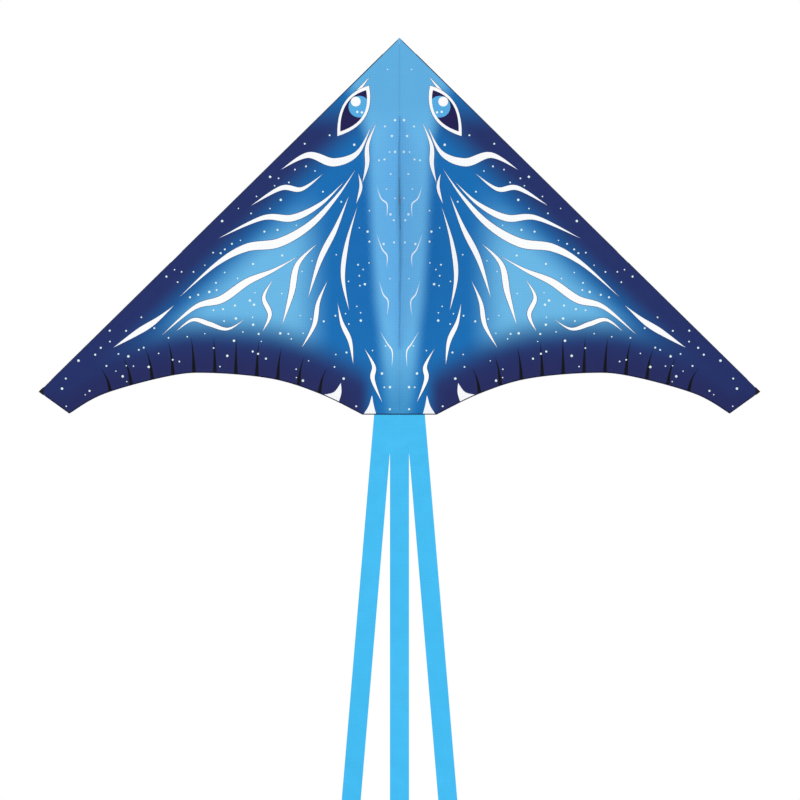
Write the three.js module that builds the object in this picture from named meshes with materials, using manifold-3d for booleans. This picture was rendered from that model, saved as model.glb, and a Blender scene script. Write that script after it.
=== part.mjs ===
// A single-line delta kite. A flat triangular sail is stretched over a spine, two leading-edge rods and a
// spreader. A keel with the tow eyelet stands in front of the spine, and a header with three ribbon tails
// hangs from the sail's lower edge.
//
// Millimetres. X is the span, +Y points to the back of the kite and +Z is up. The origin is the middle of
// the tow eyelet. Inside the kite group, y is 0 in the middle of the sailcloth and z is 0 at the nose, so
// a point's drop below the nose is -z.

import * as THREE from 'three';
import { mergeVertices } from 'three/addons/utils/BufferGeometryUtils.js';
import Module from 'manifold-3d';

const wasm = await Module();
wasm.setup();

const SIDES = [['left', -1], ['right', 1]];

// Driving dimensions
const HALF_SPAN = 700;
const EDGE_ANGLE = THREE.MathUtils.degToRad(45.5);
const CREASE_ANGLE = THREE.MathUtils.degToRad(27);
const CENTRE_DROP = 732;
const TOW_DROP = 330;
const KEEL_DEPTH = 150;
const TAIL_LENGTH = 1000;

// Cloth and clearances
const CLOTH = 1;
const GAP = 0.3;
const HINGE_GAP = 0.6;
const TAPE = 0.6;
const TAPE_FRONT = CLOTH / 2 + GAP;
const WEDGE_DEPTH = 20 * CLOTH;
const CUT_PAST = 14;

// Sail
const TIP = new THREE.Vector2(HALF_SPAN, -HALF_SPAN / Math.tan(EDGE_ANGLE));
const TIP_FOOT = new THREE.Vector2(642, -730);
const TRAILING = [
  [574, -691.5], [450, -657.5], [370, -651], [248, -662.5], [155, -691.5], [72, -CENTRE_DROP],
];
const TRAILING_STEPS = 48;
const BINDING_WIDTH = 9;
const BINDING_END = 24;
const TIP_CAP_CHORD = 692;
const TIP_CAP_OPEN = 5;

// Rods
const EDGE_LENGTH = TIP.length();
const ROD_RADIUS = 2;
const ROD_SIDES = 14;
const ROD_Y = 4.4;
const CAP_RADIUS = 2.8;
const CAP_LENGTH = 12;
const CAP_END = 2;
const BORE_SLACK = 0.4;
const SPINE_TOP = 22;
const SPINE_BOTTOM = 714;
const EDGE_ROD_INSET = 3.8;
const EDGE_ROD_TOP = 42;
const EDGE_ROD_BOTTOM = EDGE_LENGTH - 19;

// Sleeves and pockets
const SLEEVE_WALL = 0.8;
const SLEEVE_FLANGE = 8;
const SPINE_SLEEVE_TOP = 68;
const SPINE_SLEEVE_BOTTOM = 694;
const EDGE_SLEEVE_TOP = 54;
const EDGE_SLEEVE_BOTTOM = EDGE_LENGTH - 36;
const POCKET_LIP = 2;
const NOSE_POCKET_OPEN = 66;
const TAIL_POCKET_OPEN = 697;
const NOSE_POCKET = [[3, -12], [24, -NOSE_POCKET_OPEN]];
const TAIL_POCKET = [[20, -TAIL_POCKET_OPEN], [14, -722]];

// Spreader and its clips
const SPREADER_PLACE = 0.62 * EDGE_LENGTH;
const SPREADER_RADIUS = 2.5;
const SPREADER_CAP_RADIUS = 3.2;
const SPREADER_CAP_LENGTH = 16;
const SPREADER_Y = 11.4;
const WINDOW_HALF = 15;
const COLLAR_LENGTH = 16;
const COLLAR_RADIUS = 4.2;
const CLIP_FLOOR = 7.8;
const CLIP_TOP = 15.4;
const CLIP_WALL = 2.2;
const CLIP_OUTER = 5;
const CLIP_INNER = 24;
const CLIP_REACH = 50;

// Keel
const KEEL_TOP = 150;
const KEEL_BOTTOM = 610;
const KEEL_CLOTH = 0.6;
const KEEL_ROOT = CLOTH / 2 + 1;
const KEEL_CORNER = 16;
const PATCH_CLOTH = 0.4;
const PATCH_RADIUS = 15;
const PATCH_REACH = 62;
const EYELET_BORE = 4.2;
const EYELET_BARREL = 5;
const EYELET_FLANGE = 7.6;
const EYELET_HALF = 2;
const EYELET_SHEET = 0.7;
const EYELET_SIDES = 24;

// Tails
const TAIL_CLOTH = 0.8;
const HEADER_LENGTH = 76;
const HEADER_HALF_TOP = 48.5;
const HEADER_HALF_BOTTOM = 55.5;
const RIBBON_WIDTH = 37;
const RIBBON_SPLAY = THREE.MathUtils.degToRad(4.8);

const CLOTH_LOOK = { roughness: 0.6, metalness: 0 };
const LOOKS = {
  sail: { ...CLOTH_LOOK, color: 0x4f9fd2 },
  wing: { ...CLOTH_LOOK, color: 0x28417f },
  binding: { ...CLOTH_LOOK, color: 0x1c2244 },
  ribbon: { ...CLOTH_LOOK, color: 0x45bdf0 },
  rod: { roughness: 0.35, metalness: 0, color: 0x1b1c1f },
  vinyl: { roughness: 0.5, metalness: 0, color: 0x101113 },
  eyelet: { roughness: 0.3, metalness: 1, color: 0xc9ccd0 },
};

// A solid of the boolean library from a closed three.js geometry
function solid(geometry) {
  const bare = geometry.clone();
  bare.deleteAttribute('normal');
  bare.deleteAttribute('uv');
  const merged = mergeVertices(bare, 1e-4);
  const vertProperties = new Float32Array(merged.attributes.position.array);
  const triVerts = new Uint32Array(merged.index.array);
  return new wasm.Manifold(new wasm.Mesh({ numProp: 3, vertProperties, triVerts }));
}

// A three.js geometry from a solid of the boolean library
function geometryOf(body) {
  const mesh = body.getMesh();
  const geometry = new THREE.BufferGeometry();
  geometry.setAttribute('position', new THREE.BufferAttribute(mesh.vertProperties, 3));
  geometry.setIndex(new THREE.BufferAttribute(mesh.triVerts, 1));
  geometry.computeVertexNormals();
  return geometry;
}

function named(name, geometry, look) {
  const mesh = new THREE.Mesh(geometry, new THREE.MeshStandardMaterial(LOOKS[look]));
  mesh.name = name;
  return mesh;
}

// An outline in the X-Z plane, made into a sheet from front to back along Y
function sheet(shape, front, back) {
  const geometry = new THREE.ExtrudeGeometry(shape, { depth: back - front, bevelEnabled: false });
  return geometry.rotateX(Math.PI / 2).translate(0, back, 0);
}

// A section in the X-Y plane, drawn out downwards from one drop to another
function drawnDown(shape, from, to, curveSegments = 6) {
  const options = { depth: to - from, bevelEnabled: false, curveSegments };
  return new THREE.ExtrudeGeometry(shape, options).translate(0, 0, -to);
}

function outline(points) {
  return new THREE.Shape(points.map(([x, z]) => new THREE.Vector2(x, z)));
}

// An outline drawn for one half, closed by its mirror image on the other
function mirroredOutline(points) {
  const otherHalf = points.map(([x, z]) => [-x, z]).reverse();
  return outline([...points, ...otherHalf]);
}

function block(low, high) {
  const size = high.map((value, i) => value - low[i]);
  const middle = high.map((value, i) => (value + low[i]) / 2);
  return new THREE.BoxGeometry(...size).translate(...middle);
}

// Sail outline of one half: the trailing curve from the wing's foot to the centre
function trailingCurve() {
  const through = [TIP_FOOT, ...TRAILING.map(([x, z]) => new THREE.Vector2(x, z))];
  return new THREE.SplineCurve(through).getPoints(TRAILING_STEPS);
}

// A long wedge from the nose between two angles from the centre line, drawn in by half a gap
function wedge(side, from, to) {
  const reach = 4 * HALF_SPAN;
  const inset = GAP / 2;
  const apex = inset / Math.sin((to - from) / 2);
  const middle = (from + to) / 2;
  const start = [apex * Math.sin(middle), -apex * Math.cos(middle)];
  const ray = (angle) => [start[0] + reach * Math.sin(angle), start[1] - reach * Math.cos(angle)];
  const corners = [start, ray(from), ray(to)].map(([x, z]) => [side * x, z]);
  return solid(sheet(outline(corners), -WEDGE_DEPTH, WEDGE_DEPTH));
}

function halfSail(side) {
  const points = [new THREE.Vector2(0, 0), TIP, ...trailingCurve(), new THREE.Vector2(0, -CENTRE_DROP)];
  return outline(points.map((p) => [side * p.x, p.y]));
}

function sailPanel(side, from, to) {
  const whole = solid(sheet(halfSail(side), -CLOTH / 2, CLOTH / 2));
  return geometryOf(whole.intersect(wedge(side, from, to)));
}

// A tape of even width inside a line of points
function tapeOutline(side, line, width) {
  const step = (i) => line[i + 1].clone().sub(line[i]).normalize();
  const inner = line.map((p, i) => {
    const into = step(Math.max(i - 1, 0));
    const out = step(Math.min(i, line.length - 2));
    const along = into.clone().add(out).normalize();
    return p.clone().add(new THREE.Vector2(along.y, -along.x).multiplyScalar(width / out.dot(along)));
  });
  return outline([...line, ...inner.reverse()].map((p) => [side * p.x, p.y]));
}

function trailingBinding(side, from, to) {
  const towardsTip = TIP.clone().sub(TIP_FOOT);
  const start = TIP.clone().addScaledVector(towardsTip.normalize(), -BINDING_END);
  const line = [start, ...trailingCurve(), new THREE.Vector2(0, -CENTRE_DROP)];
  const whole = solid(sheet(tapeOutline(side, line, BINDING_WIDTH), TAPE_FRONT, TAPE_FRONT + TAPE));
  return geometryOf(whole.intersect(wedge(side, from, to)));
}

// The section of a sleeve: a flat tape under an arched tunnel, round at the rod's middle
function sleeveSection(flangeOut, flangeIn, bore) {
  const wide = bore + SLEEVE_WALL;
  const shape = new THREE.Shape();
  shape.moveTo(-flangeOut, TAPE_FRONT);
  shape.lineTo(flangeIn, TAPE_FRONT);
  shape.lineTo(flangeIn, TAPE_FRONT + TAPE);
  shape.lineTo(wide, TAPE_FRONT + TAPE);
  shape.lineTo(wide, ROD_Y);
  shape.absarc(0, ROD_Y, wide, 0, Math.PI);
  if (flangeOut > wide) {
    shape.lineTo(-wide, TAPE_FRONT + TAPE);
    shape.lineTo(-flangeOut, TAPE_FRONT + TAPE);
  }
  const hole = new THREE.Path();
  hole.absarc(0, ROD_Y, bore, 0, 2 * Math.PI, true);
  shape.holes.push(hole);
  return shape;
}

// A rod that hangs down from one drop to another, in the middle of a sleeve
function rod(from, to, radius) {
  const geometry = new THREE.CylinderGeometry(radius, radius, to - from, ROD_SIDES);
  return geometry.rotateX(Math.PI / 2).translate(0, ROD_Y, -(from + to) / 2);
}

// A cap with a blind bore, its closed end at 0 and its mouth along +Y
function endCap(radius, bore, length) {
  const profile = [
    [0, 0], [radius - 1, 0], [radius, 1], [radius, length],
    [bore, length], [bore, CAP_END], [0, CAP_END],
  ];
  return new THREE.LatheGeometry(profile.map(([r, y]) => new THREE.Vector2(r, y)), ROD_SIDES);
}

function rodCap(rodEnd, up) {
  const geometry = endCap(CAP_RADIUS, ROD_RADIUS + GAP, CAP_LENGTH);
  const overlap = CAP_END + GAP;
  const tilt = up ? -Math.PI / 2 : Math.PI / 2;
  const end = up ? -rodEnd + overlap : -rodEnd - overlap;
  return geometry.rotateX(tilt).translate(0, ROD_Y, end);
}

// A stiff patch with a pocket, open at one end and shut at the other, that takes a capped rod end
function pocket(corners, open, shut) {
  const plate = solid(sheet(mirroredOutline(corners), TAPE_FRONT, TAPE_FRONT + TAPE));
  const bore = CAP_RADIUS + GAP;
  const section = sleeveSection(bore + SLEEVE_WALL, bore + SLEEVE_WALL, bore);
  section.holes = [];
  const way = Math.sign(shut - open);
  const arch = solid(drawnDown(section, ...[open, shut + way * POCKET_LIP].sort((a, b) => a - b)));
  const hollow = solid(rod(...[open - way * CUT_PAST, shut].sort((a, b) => a - b), bore));
  return geometryOf(plate.add(arch).subtract(hollow));
}

// The middle of the kite: both inner panels, the spine in its sleeve, and the pockets at its ends
function addCentre(kite) {
  for (const [name, side] of SIDES) {
    kite.add(named(`sail_inner_${name}`, sailPanel(side, 0, CREASE_ANGLE), 'sail'));
    kite.add(named(`binding_inner_${name}`, trailingBinding(side, 0, CREASE_ANGLE), 'binding'));
  }
  kite.add(named('spine_rod', rod(SPINE_TOP, SPINE_BOTTOM, ROD_RADIUS), 'rod'));
  kite.add(named('spine_cap_top', rodCap(SPINE_TOP, true), 'vinyl'));
  kite.add(named('spine_cap_bottom', rodCap(SPINE_BOTTOM, false), 'vinyl'));
  const section = sleeveSection(SLEEVE_FLANGE, SLEEVE_FLANGE, ROD_RADIUS + BORE_SLACK);
  kite.add(named('spine_sleeve', drawnDown(section, SPINE_SLEEVE_TOP, SPINE_SLEEVE_BOTTOM), 'binding'));
  const capTop = SPINE_TOP - CAP_END - 2 * GAP;
  const capBottom = SPINE_BOTTOM + CAP_END + 2 * GAP;
  kite.add(named('nose_pocket', pocket(NOSE_POCKET, NOSE_POCKET_OPEN, capTop), 'binding'));
  kite.add(named('tail_pocket', pocket(TAIL_POCKET, TAIL_POCKET_OPEN, capBottom), 'binding'));
}

// Where the leading-edge rod meets the spreader, from the nose
function clipPlace(side) {
  const x = SPREADER_PLACE * Math.sin(EDGE_ANGLE) - EDGE_ROD_INSET * Math.cos(EDGE_ANGLE);
  const z = -SPREADER_PLACE * Math.cos(EDGE_ANGLE) - EDGE_ROD_INSET * Math.sin(EDGE_ANGLE);
  return new THREE.Vector3(side * x, 0, z);
}

// A collar round the leading-edge rod, with a channel, open to the back, that takes the spreader's end
function spreaderClip(side) {
  const tilt = -side * EDGE_ANGLE;
  const turned = (geometry) => solid(geometry.rotateY(tilt));
  const collar = turned(rod(-COLLAR_LENGTH / 2, COLLAR_LENGTH / 2, COLLAR_RADIUS));
  const bore = turned(rod(-COLLAR_LENGTH, COLLAR_LENGTH, ROD_RADIUS + GAP));
  const far = CLIP_REACH;
  const aboveCloth = solid(block([-far, TAPE_FRONT, -far], [far, far, far]));
  const span = (outer, inner, y0, y1, half) => {
    const xs = [-side * outer, -side * inner].sort((a, b) => a - b);
    return solid(block([xs[0], y0, -half], [xs[1], y1, half]));
  };
  const channelHalf = SPREADER_CAP_RADIUS + BORE_SLACK;
  const body = span(CLIP_OUTER, CLIP_INNER, CLIP_FLOOR - CLIP_WALL, CLIP_TOP, channelHalf + CLIP_WALL);
  const web = span(0, CLIP_INNER / 2, CLIP_FLOOR - CLIP_WALL, CLIP_FLOOR, COLLAR_RADIUS);
  const channel = span(CLIP_OUTER + CLIP_WALL, CLIP_INNER + 1, CLIP_FLOOR, CLIP_TOP + 1, channelHalf);
  const whole = collar.intersect(aboveCloth).add(web).add(body);
  return geometryOf(whole.subtract(bore).subtract(channel));
}

// A folded tape over the wing's corner, open on its inner side
function tipCap(side) {
  const chordTop = [TIP_CAP_CHORD, -TIP_CAP_CHORD / Math.tan(EDGE_ANGLE)];
  const footSlope = (TIP.y - TIP_FOOT.y) / (TIP.x - TIP_FOOT.x);
  const chordBottom = [TIP_CAP_CHORD, TIP.y + footSlope * (TIP_CAP_CHORD - TIP.x)];
  const corners = [[TIP.x, TIP.y], chordBottom, chordTop].map(([x, z]) => [side * x, z]);
  const grown = (by) => corners.map(([x, z], i) => [
    [x + side * by, z], [x, z - by], [x, z + by],
  ][i]);
  const skin = TAPE_FRONT + TAPE;
  const outer = solid(sheet(outline(grown(2 * GAP + TAPE)), -skin, skin));
  const chordInside = (by) => grown(by).map(([x, z], i) => [
    [x, z], [x - side * TIP_CAP_OPEN, z - TIP_CAP_OPEN], [x - side * TIP_CAP_OPEN, z + TIP_CAP_OPEN],
  ][i]);
  const slot = solid(sheet(outline(chordInside(GAP)), -TAPE_FRONT, TAPE_FRONT));
  return geometryOf(outer.subtract(slot));
}

function addWing(kite, name, side) {
  const wing = new THREE.Group();
  wing.add(named(`sail_wing_${name}`, sailPanel(side, CREASE_ANGLE, EDGE_ANGLE + 0.2), 'wing'));
  wing.add(named(`binding_wing_${name}`, trailingBinding(side, CREASE_ANGLE, EDGE_ANGLE + 0.2), 'binding'));
  wing.add(named(`tip_cap_${name}`, tipCap(side), 'vinyl'));
  const clip = named(`spreader_clip_${name}`, spreaderClip(side), 'vinyl');
  clip.position.copy(clipPlace(side));
  wing.add(clip);

  const edge = new THREE.Group();
  edge.rotation.y = -side * EDGE_ANGLE;
  edge.position.set(-side * EDGE_ROD_INSET * Math.cos(EDGE_ANGLE), 0, -EDGE_ROD_INSET * Math.sin(EDGE_ANGLE));
  edge.add(named(`edge_rod_${name}`, rod(EDGE_ROD_TOP, EDGE_ROD_BOTTOM, ROD_RADIUS), 'rod'));
  edge.add(named(`edge_cap_top_${name}`, rodCap(EDGE_ROD_TOP, true), 'vinyl'));
  edge.add(named(`edge_cap_bottom_${name}`, rodCap(EDGE_ROD_BOTTOM, false), 'vinyl'));
  const bore = ROD_RADIUS + BORE_SLACK;
  const outside = bore + SLEEVE_WALL;
  const flanges = side > 0 ? [SLEEVE_FLANGE + outside, outside] : [outside, SLEEVE_FLANGE + outside];
  const section = sleeveSection(...flanges, bore);
  const lengths = {
    upper: [EDGE_SLEEVE_TOP, SPREADER_PLACE - WINDOW_HALF],
    lower: [SPREADER_PLACE + WINDOW_HALF, EDGE_SLEEVE_BOTTOM],
  };
  for (const [place, [from, to]] of Object.entries(lengths)) {
    edge.add(named(`edge_sleeve_${place}_${name}`, drawnDown(section, from, to), 'binding'));
  }
  wing.add(edge);
  kite.add(wing);
}

function addSpreader(kite) {
  const place = clipPlace(1);
  const capEnd = place.x - CLIP_OUTER - CLIP_WALL - 1;
  const rodEnd = capEnd - CAP_END - GAP;
  const spreader = new THREE.Group();
  spreader.position.set(0, SPREADER_Y, place.z);
  const bar = new THREE.CylinderGeometry(SPREADER_RADIUS, SPREADER_RADIUS, 2 * rodEnd, ROD_SIDES);
  spreader.add(named('spreader_rod', bar.rotateZ(Math.PI / 2), 'rod'));
  for (const [name, side] of SIDES) {
    const cap = endCap(SPREADER_CAP_RADIUS, SPREADER_RADIUS + GAP, SPREADER_CAP_LENGTH);
    const mesh = named(`spreader_cap_${name}`, cap.rotateZ(side * Math.PI / 2), 'vinyl');
    mesh.position.x = side * capEnd;
    spreader.add(mesh);
  }
  kite.add(spreader);
}

// A cloth shape round the tow corner, from one point on each of the keel's free edges.
// Drawn with x for the depth in front of the sail and y for the height.
function towCornerShape(upper, lower, corner) {
  const tow = new THREE.Vector2(KEEL_DEPTH, -TOW_DROP);
  const touch = (point, turn) => {
    const away = point.clone().sub(tow);
    return away.angle() + turn * Math.acos(corner / away.length());
  };
  const shape = new THREE.Shape();
  shape.moveTo(lower.x, lower.y);
  shape.lineTo(upper.x, upper.y);
  shape.absarc(tow.x, tow.y, corner, touch(upper, -1), touch(lower, 1), true);
  return shape;
}

// A sheet in the Y-Z plane between two x values, from a shape drawn by towCornerShape, with the eyelet's hole
function keelSheet(shape, from, to) {
  const options = { depth: to - from, bevelEnabled: false, curveSegments: 8 };
  const geometry = new THREE.ExtrudeGeometry(shape, options);
  geometry.rotateX(Math.PI / 2).rotateZ(-Math.PI / 2).translate(to, 0, 0);
  const hole = new THREE.CylinderGeometry(EYELET_BARREL + GAP, EYELET_BARREL + GAP, CUT_PAST, EYELET_SIDES);
  hole.rotateZ(Math.PI / 2).translate(0, -KEEL_DEPTH, -TOW_DROP);
  return geometryOf(solid(geometry).subtract(solid(hole)));
}

function addKeel(kite) {
  const onRoot = (drop) => new THREE.Vector2(KEEL_ROOT, -drop);
  const root = { upper: onRoot(KEEL_TOP), lower: onRoot(KEEL_BOTTOM) };
  const panel = towCornerShape(root.upper, root.lower, KEEL_CORNER);
  kite.add(named('keel_panel', keelSheet(panel, -KEEL_CLOTH / 2, KEEL_CLOTH / 2), 'sail'));

  const tow = new THREE.Vector2(KEEL_DEPTH, -TOW_DROP);
  const reach = (end) => tow.clone().add(end.clone().sub(tow).setLength(PATCH_REACH));
  const patch = towCornerShape(reach(root.upper), reach(root.lower), PATCH_RADIUS);
  const near = KEEL_CLOTH / 2 + GAP;
  kite.add(named('keel_patch_right', keelSheet(patch, near, near + PATCH_CLOTH), 'binding'));
  kite.add(named('keel_patch_left', keelSheet(patch, -near - PATCH_CLOTH, -near), 'binding'));

  const inside = EYELET_HALF - EYELET_SHEET;
  const section = [
    [EYELET_BORE, -EYELET_HALF], [EYELET_FLANGE, -EYELET_HALF], [EYELET_FLANGE, -inside],
    [EYELET_BARREL, -inside], [EYELET_BARREL, inside], [EYELET_FLANGE, inside],
    [EYELET_FLANGE, EYELET_HALF], [EYELET_BORE, EYELET_HALF], [EYELET_BORE, -EYELET_HALF],
  ];
  const eyelet = new THREE.LatheGeometry(section.map(([r, y]) => new THREE.Vector2(r, y)), EYELET_SIDES);
  const mesh = named('keel_eyelet', eyelet.rotateZ(Math.PI / 2), 'eyelet');
  mesh.position.set(0, -KEEL_DEPTH, -TOW_DROP);
  kite.add(mesh);
}

function addTails(kite) {
  const headerTop = CENTRE_DROP + 2 * HINGE_GAP;
  const headerBottom = CENTRE_DROP + HEADER_LENGTH;
  const header = mirroredOutline([[HEADER_HALF_TOP, -headerTop], [HEADER_HALF_BOTTOM, -headerBottom]]);
  kite.add(named('tail_header', sheet(header, -TAIL_CLOTH / 2, TAIL_CLOTH / 2), 'ribbon'));

  const top = headerBottom + 2 * HINGE_GAP;
  const bottom = CENTRE_DROP + TAIL_LENGTH;
  const pitch = RIBBON_WIDTH + GAP;
  for (const [name, place] of [['left', -1], ['centre', 0], ['right', 1]]) {
    const shift = place * Math.tan(RIBBON_SPLAY) * (bottom - top);
    const middle = place * pitch;
    const half = RIBBON_WIDTH / 2;
    const corners = [[middle - half, -top], [middle + half, -top]];
    const foot = [[middle + half + shift, -bottom], [middle - half + shift, -bottom]];
    const ribbon = sheet(outline([...corners, ...foot]), -TAIL_CLOTH / 2, TAIL_CLOTH / 2);
    kite.add(named(`ribbon_${name}`, ribbon, 'ribbon'));
  }
}

const kite = new THREE.Group();
kite.position.set(0, KEEL_DEPTH, TOW_DROP);
addCentre(kite);
SIDES.forEach(([name, side]) => addWing(kite, name, side));
addSpreader(kite);
addKeel(kite);
addTails(kite);

const model = new THREE.Group();
model.add(kite);

export default model;
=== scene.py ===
"""A single-line delta kite with a printed ripstop sail, a keel and three ribbon tails.

Plan sizes are in millimetres from the nose: x runs to the right seen from the front and d is
the drop below the nose. They become metres in the CAD frame when a mesh is made.
"""

from __future__ import annotations

import logging
import math
import random
from collections.abc import Callable, Iterator, Sequence
from contextlib import contextmanager
from dataclasses import dataclass, field
from enum import Enum

import bmesh
import bpy
import numpy as np
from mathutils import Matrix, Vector, noise
from mathutils.geometry import delaunay_2d_cdt


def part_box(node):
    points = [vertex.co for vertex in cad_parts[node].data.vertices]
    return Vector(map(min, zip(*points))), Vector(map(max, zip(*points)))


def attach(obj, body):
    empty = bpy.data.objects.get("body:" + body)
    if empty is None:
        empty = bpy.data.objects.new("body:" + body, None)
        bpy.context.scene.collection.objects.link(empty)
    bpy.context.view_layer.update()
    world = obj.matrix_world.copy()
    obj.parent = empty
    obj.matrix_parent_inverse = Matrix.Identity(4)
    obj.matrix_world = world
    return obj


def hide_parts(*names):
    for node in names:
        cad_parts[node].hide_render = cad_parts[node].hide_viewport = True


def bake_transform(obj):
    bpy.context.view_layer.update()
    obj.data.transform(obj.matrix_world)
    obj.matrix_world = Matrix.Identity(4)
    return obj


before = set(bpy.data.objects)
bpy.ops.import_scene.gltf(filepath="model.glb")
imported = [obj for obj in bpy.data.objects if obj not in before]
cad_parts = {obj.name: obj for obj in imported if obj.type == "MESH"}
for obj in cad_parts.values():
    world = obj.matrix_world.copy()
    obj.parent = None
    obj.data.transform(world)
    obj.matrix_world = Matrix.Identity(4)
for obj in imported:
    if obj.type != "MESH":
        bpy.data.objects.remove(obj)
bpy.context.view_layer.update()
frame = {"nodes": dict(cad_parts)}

LOG = logging.getLogger("kite")
MM = 0.001
CREASE_HALF_WIDTH = 9.0
SIDES = (("left", -1), ("right", 1))

Point = tuple[float, float]
Colour = tuple[float, float, float]
Place = tuple[float, float, float]
Triangle = tuple[int, int, int]
Lie = Callable[[float, float, float], Place]


def linear(code: str) -> Colour:
    """A web colour such as "46bdf0", in linear light."""
    parts = [int(code[i : i + 2], 16) / 255 for i in (0, 2, 4)]
    return tuple(c / 12.92 if c <= 0.04045 else ((c + 0.055) / 1.055) ** 2.4 for c in parts)


def step_up(value: np.ndarray, low: float, high: float) -> np.ndarray:
    """0 below low, 1 above high, and a smooth rise between them."""
    t = np.clip((np.asarray(value, float) - low) / (high - low), 0.0, 1.0)
    return t * t * (3 - 2 * t)


def mix(a: np.ndarray, b: Sequence[float], share: np.ndarray) -> np.ndarray:
    """Colours a, turned towards b by a share for each row."""
    return a + (np.asarray(b, float) - a) * np.asarray(share)[..., None]


# ---------------------------------------------------------------------------------------------
# Shader expressions
# ---------------------------------------------------------------------------------------------


class Socket:
    """A shader output that takes part in Python expressions by adding Math nodes."""

    def __init__(self, graph: Graph, output: bpy.types.NodeSocket) -> None:
        """Wraps one output of the graph."""
        self.graph = graph
        self.output = output

    def math(self, operation: str, *others: Socket | float) -> Socket:
        """A Math node on this socket and the others."""
        inputs = dict(enumerate([self, *others]))
        return self.graph.node("ShaderNodeMath", {"operation": operation}, inputs)

    def __add__(self, other: Socket | float) -> Socket:
        """self + other."""
        return self.math("ADD", other)

    def __radd__(self, other: float) -> Socket:
        """other + self."""
        return self.math("ADD", other)

    def __sub__(self, other: Socket | float) -> Socket:
        """self - other."""
        return self.math("SUBTRACT", other)

    def __mul__(self, other: Socket | float) -> Socket:
        """self * other."""
        return self.math("MULTIPLY", other)

    def __gt__(self, other: float) -> Socket:
        """1 where self is above other, and 0 elsewhere."""
        return self.math("GREATER_THAN", other)

    def fraction(self) -> Socket:
        """The part after the decimal point."""
        return self.math("FRACT")

    def part(self, name: str) -> Socket:
        """Another output of the same node."""
        return Socket(self.graph, self.output.node.outputs[name])


class Graph:
    """One material's nodes, around a Principled shader."""

    colour_a, colour_b, colour_out = 6, 7, 2

    def __init__(self, name: str) -> None:
        """Makes the material with its shader and output."""
        self.material = bpy.data.materials.new(name)
        self.material.use_nodes = True
        self.tree = self.material.node_tree
        self.shader = self.tree.nodes["Principled BSDF"]

    def node(self, kind: str, settings: dict | None = None, inputs: dict | None = None) -> Socket:
        """Adds a node.

        Args:
            kind: the node's type name.
            settings: the node's own settings; "stops" fills a colour ramp.
            inputs: socket name or number to a value or a Socket.

        Returns:
            The node's first output.
        """
        made = self.tree.nodes.new(kind)
        for key, value in (settings or {}).items():
            if key == "stops":
                self._fill_ramp(made.color_ramp, value)
            else:
                setattr(made, key, value)
        for key, value in (inputs or {}).items():
            self.feed(made.inputs[key], value)
        return Socket(self, made.outputs[0])

    @staticmethod
    def _fill_ramp(ramp: bpy.types.ColorRamp, stops: Sequence[tuple[float, Colour]]) -> None:
        """Gives a colour ramp its stops."""
        while len(ramp.elements) < len(stops):
            ramp.elements.new(0.5)
        for element, (place, colour) in zip(ramp.elements, stops):
            element.position = place
            element.color = (*colour, 1.0)

    def feed(self, target: bpy.types.NodeSocket, value: Socket | float | Sequence[float]) -> None:
        """Links a Socket to an input, or sets the input's own value."""
        if isinstance(value, Socket):
            self.tree.links.new(value.output, target)
        elif target.type == "RGBA":
            target.default_value = (*value[:3], 1.0)
        else:
            target.default_value = value

    def set(self, **values: Socket | float | Sequence[float]) -> None:
        """Feeds the Principled shader's inputs, written as Base_Color or Roughness."""
        for key, value in values.items():
            self.feed(self.shader.inputs[key.replace("_", " ")], value)

    def blend(
        self, share: Socket | float, a: Socket | Colour, b: Socket | Colour, mode: str = "MIX"
    ) -> Socket:
        """Two colours through a Mix node, whose colour sockets go by number."""
        inputs = {0: share, self.colour_a: a, self.colour_b: b}
        mixed = self.node("ShaderNodeMix", {"data_type": "RGBA", "blend_type": mode}, inputs)
        return Socket(self, mixed.output.node.outputs[self.colour_out])

    def bump(self, height: Socket, distance: float, strength: float = 1.0) -> Socket:
        """A normal bumped by a height."""
        inputs = {"Height": height, "Distance": distance, "Strength": strength}
        return self.node("ShaderNodeBump", None, inputs)

    def noise(self, vector: Socket, scale: float, detail: float = 2.0) -> Socket:
        """A noise value from 0 to 1."""
        inputs = {"Vector": vector, "Scale": scale, "Detail": detail}
        return self.node("ShaderNodeTexNoise", None, inputs)


# ---------------------------------------------------------------------------------------------
# Finishes
# ---------------------------------------------------------------------------------------------


class Ripstop:
    """The grid and fine weave of a ripstop cloth, from a UV map in centimetres."""

    grid_cm = 0.5
    grid_edge = 0.43
    thread_cm = 0.05

    def __init__(self, graph: Graph) -> None:
        """Lays the cloth coordinates out in the graph."""
        self.graph = graph
        place = graph.node("ShaderNodeUVMap", {"uv_map": "cloth"})
        self.place = place
        split = graph.node("ShaderNodeSeparateXYZ", None, {0: place})
        self.across, self.along = split.part("X"), split.part("Y")

    def lines(self) -> Socket:
        """1 on the thicker reinforcing threads and 0 between them."""
        across, along = (
            ((run * (1 / self.grid_cm)).fraction() - 0.5).math("ABSOLUTE") > self.grid_edge
            for run in (self.across, self.along)
        )
        return across.math("MAXIMUM", along)

    def threads(self) -> Socket:
        """The height of a plain weave's fine threads."""
        turn = 2 * math.pi / self.thread_cm
        return (self.across * turn).math("SINE") * (self.along * turn).math("SINE")

    def mottle(self, scale: float, detail: float = 3.0) -> Socket:
        """Soft unevenness from 0 to 1."""
        return self.graph.noise(self.place, scale, detail)


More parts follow.
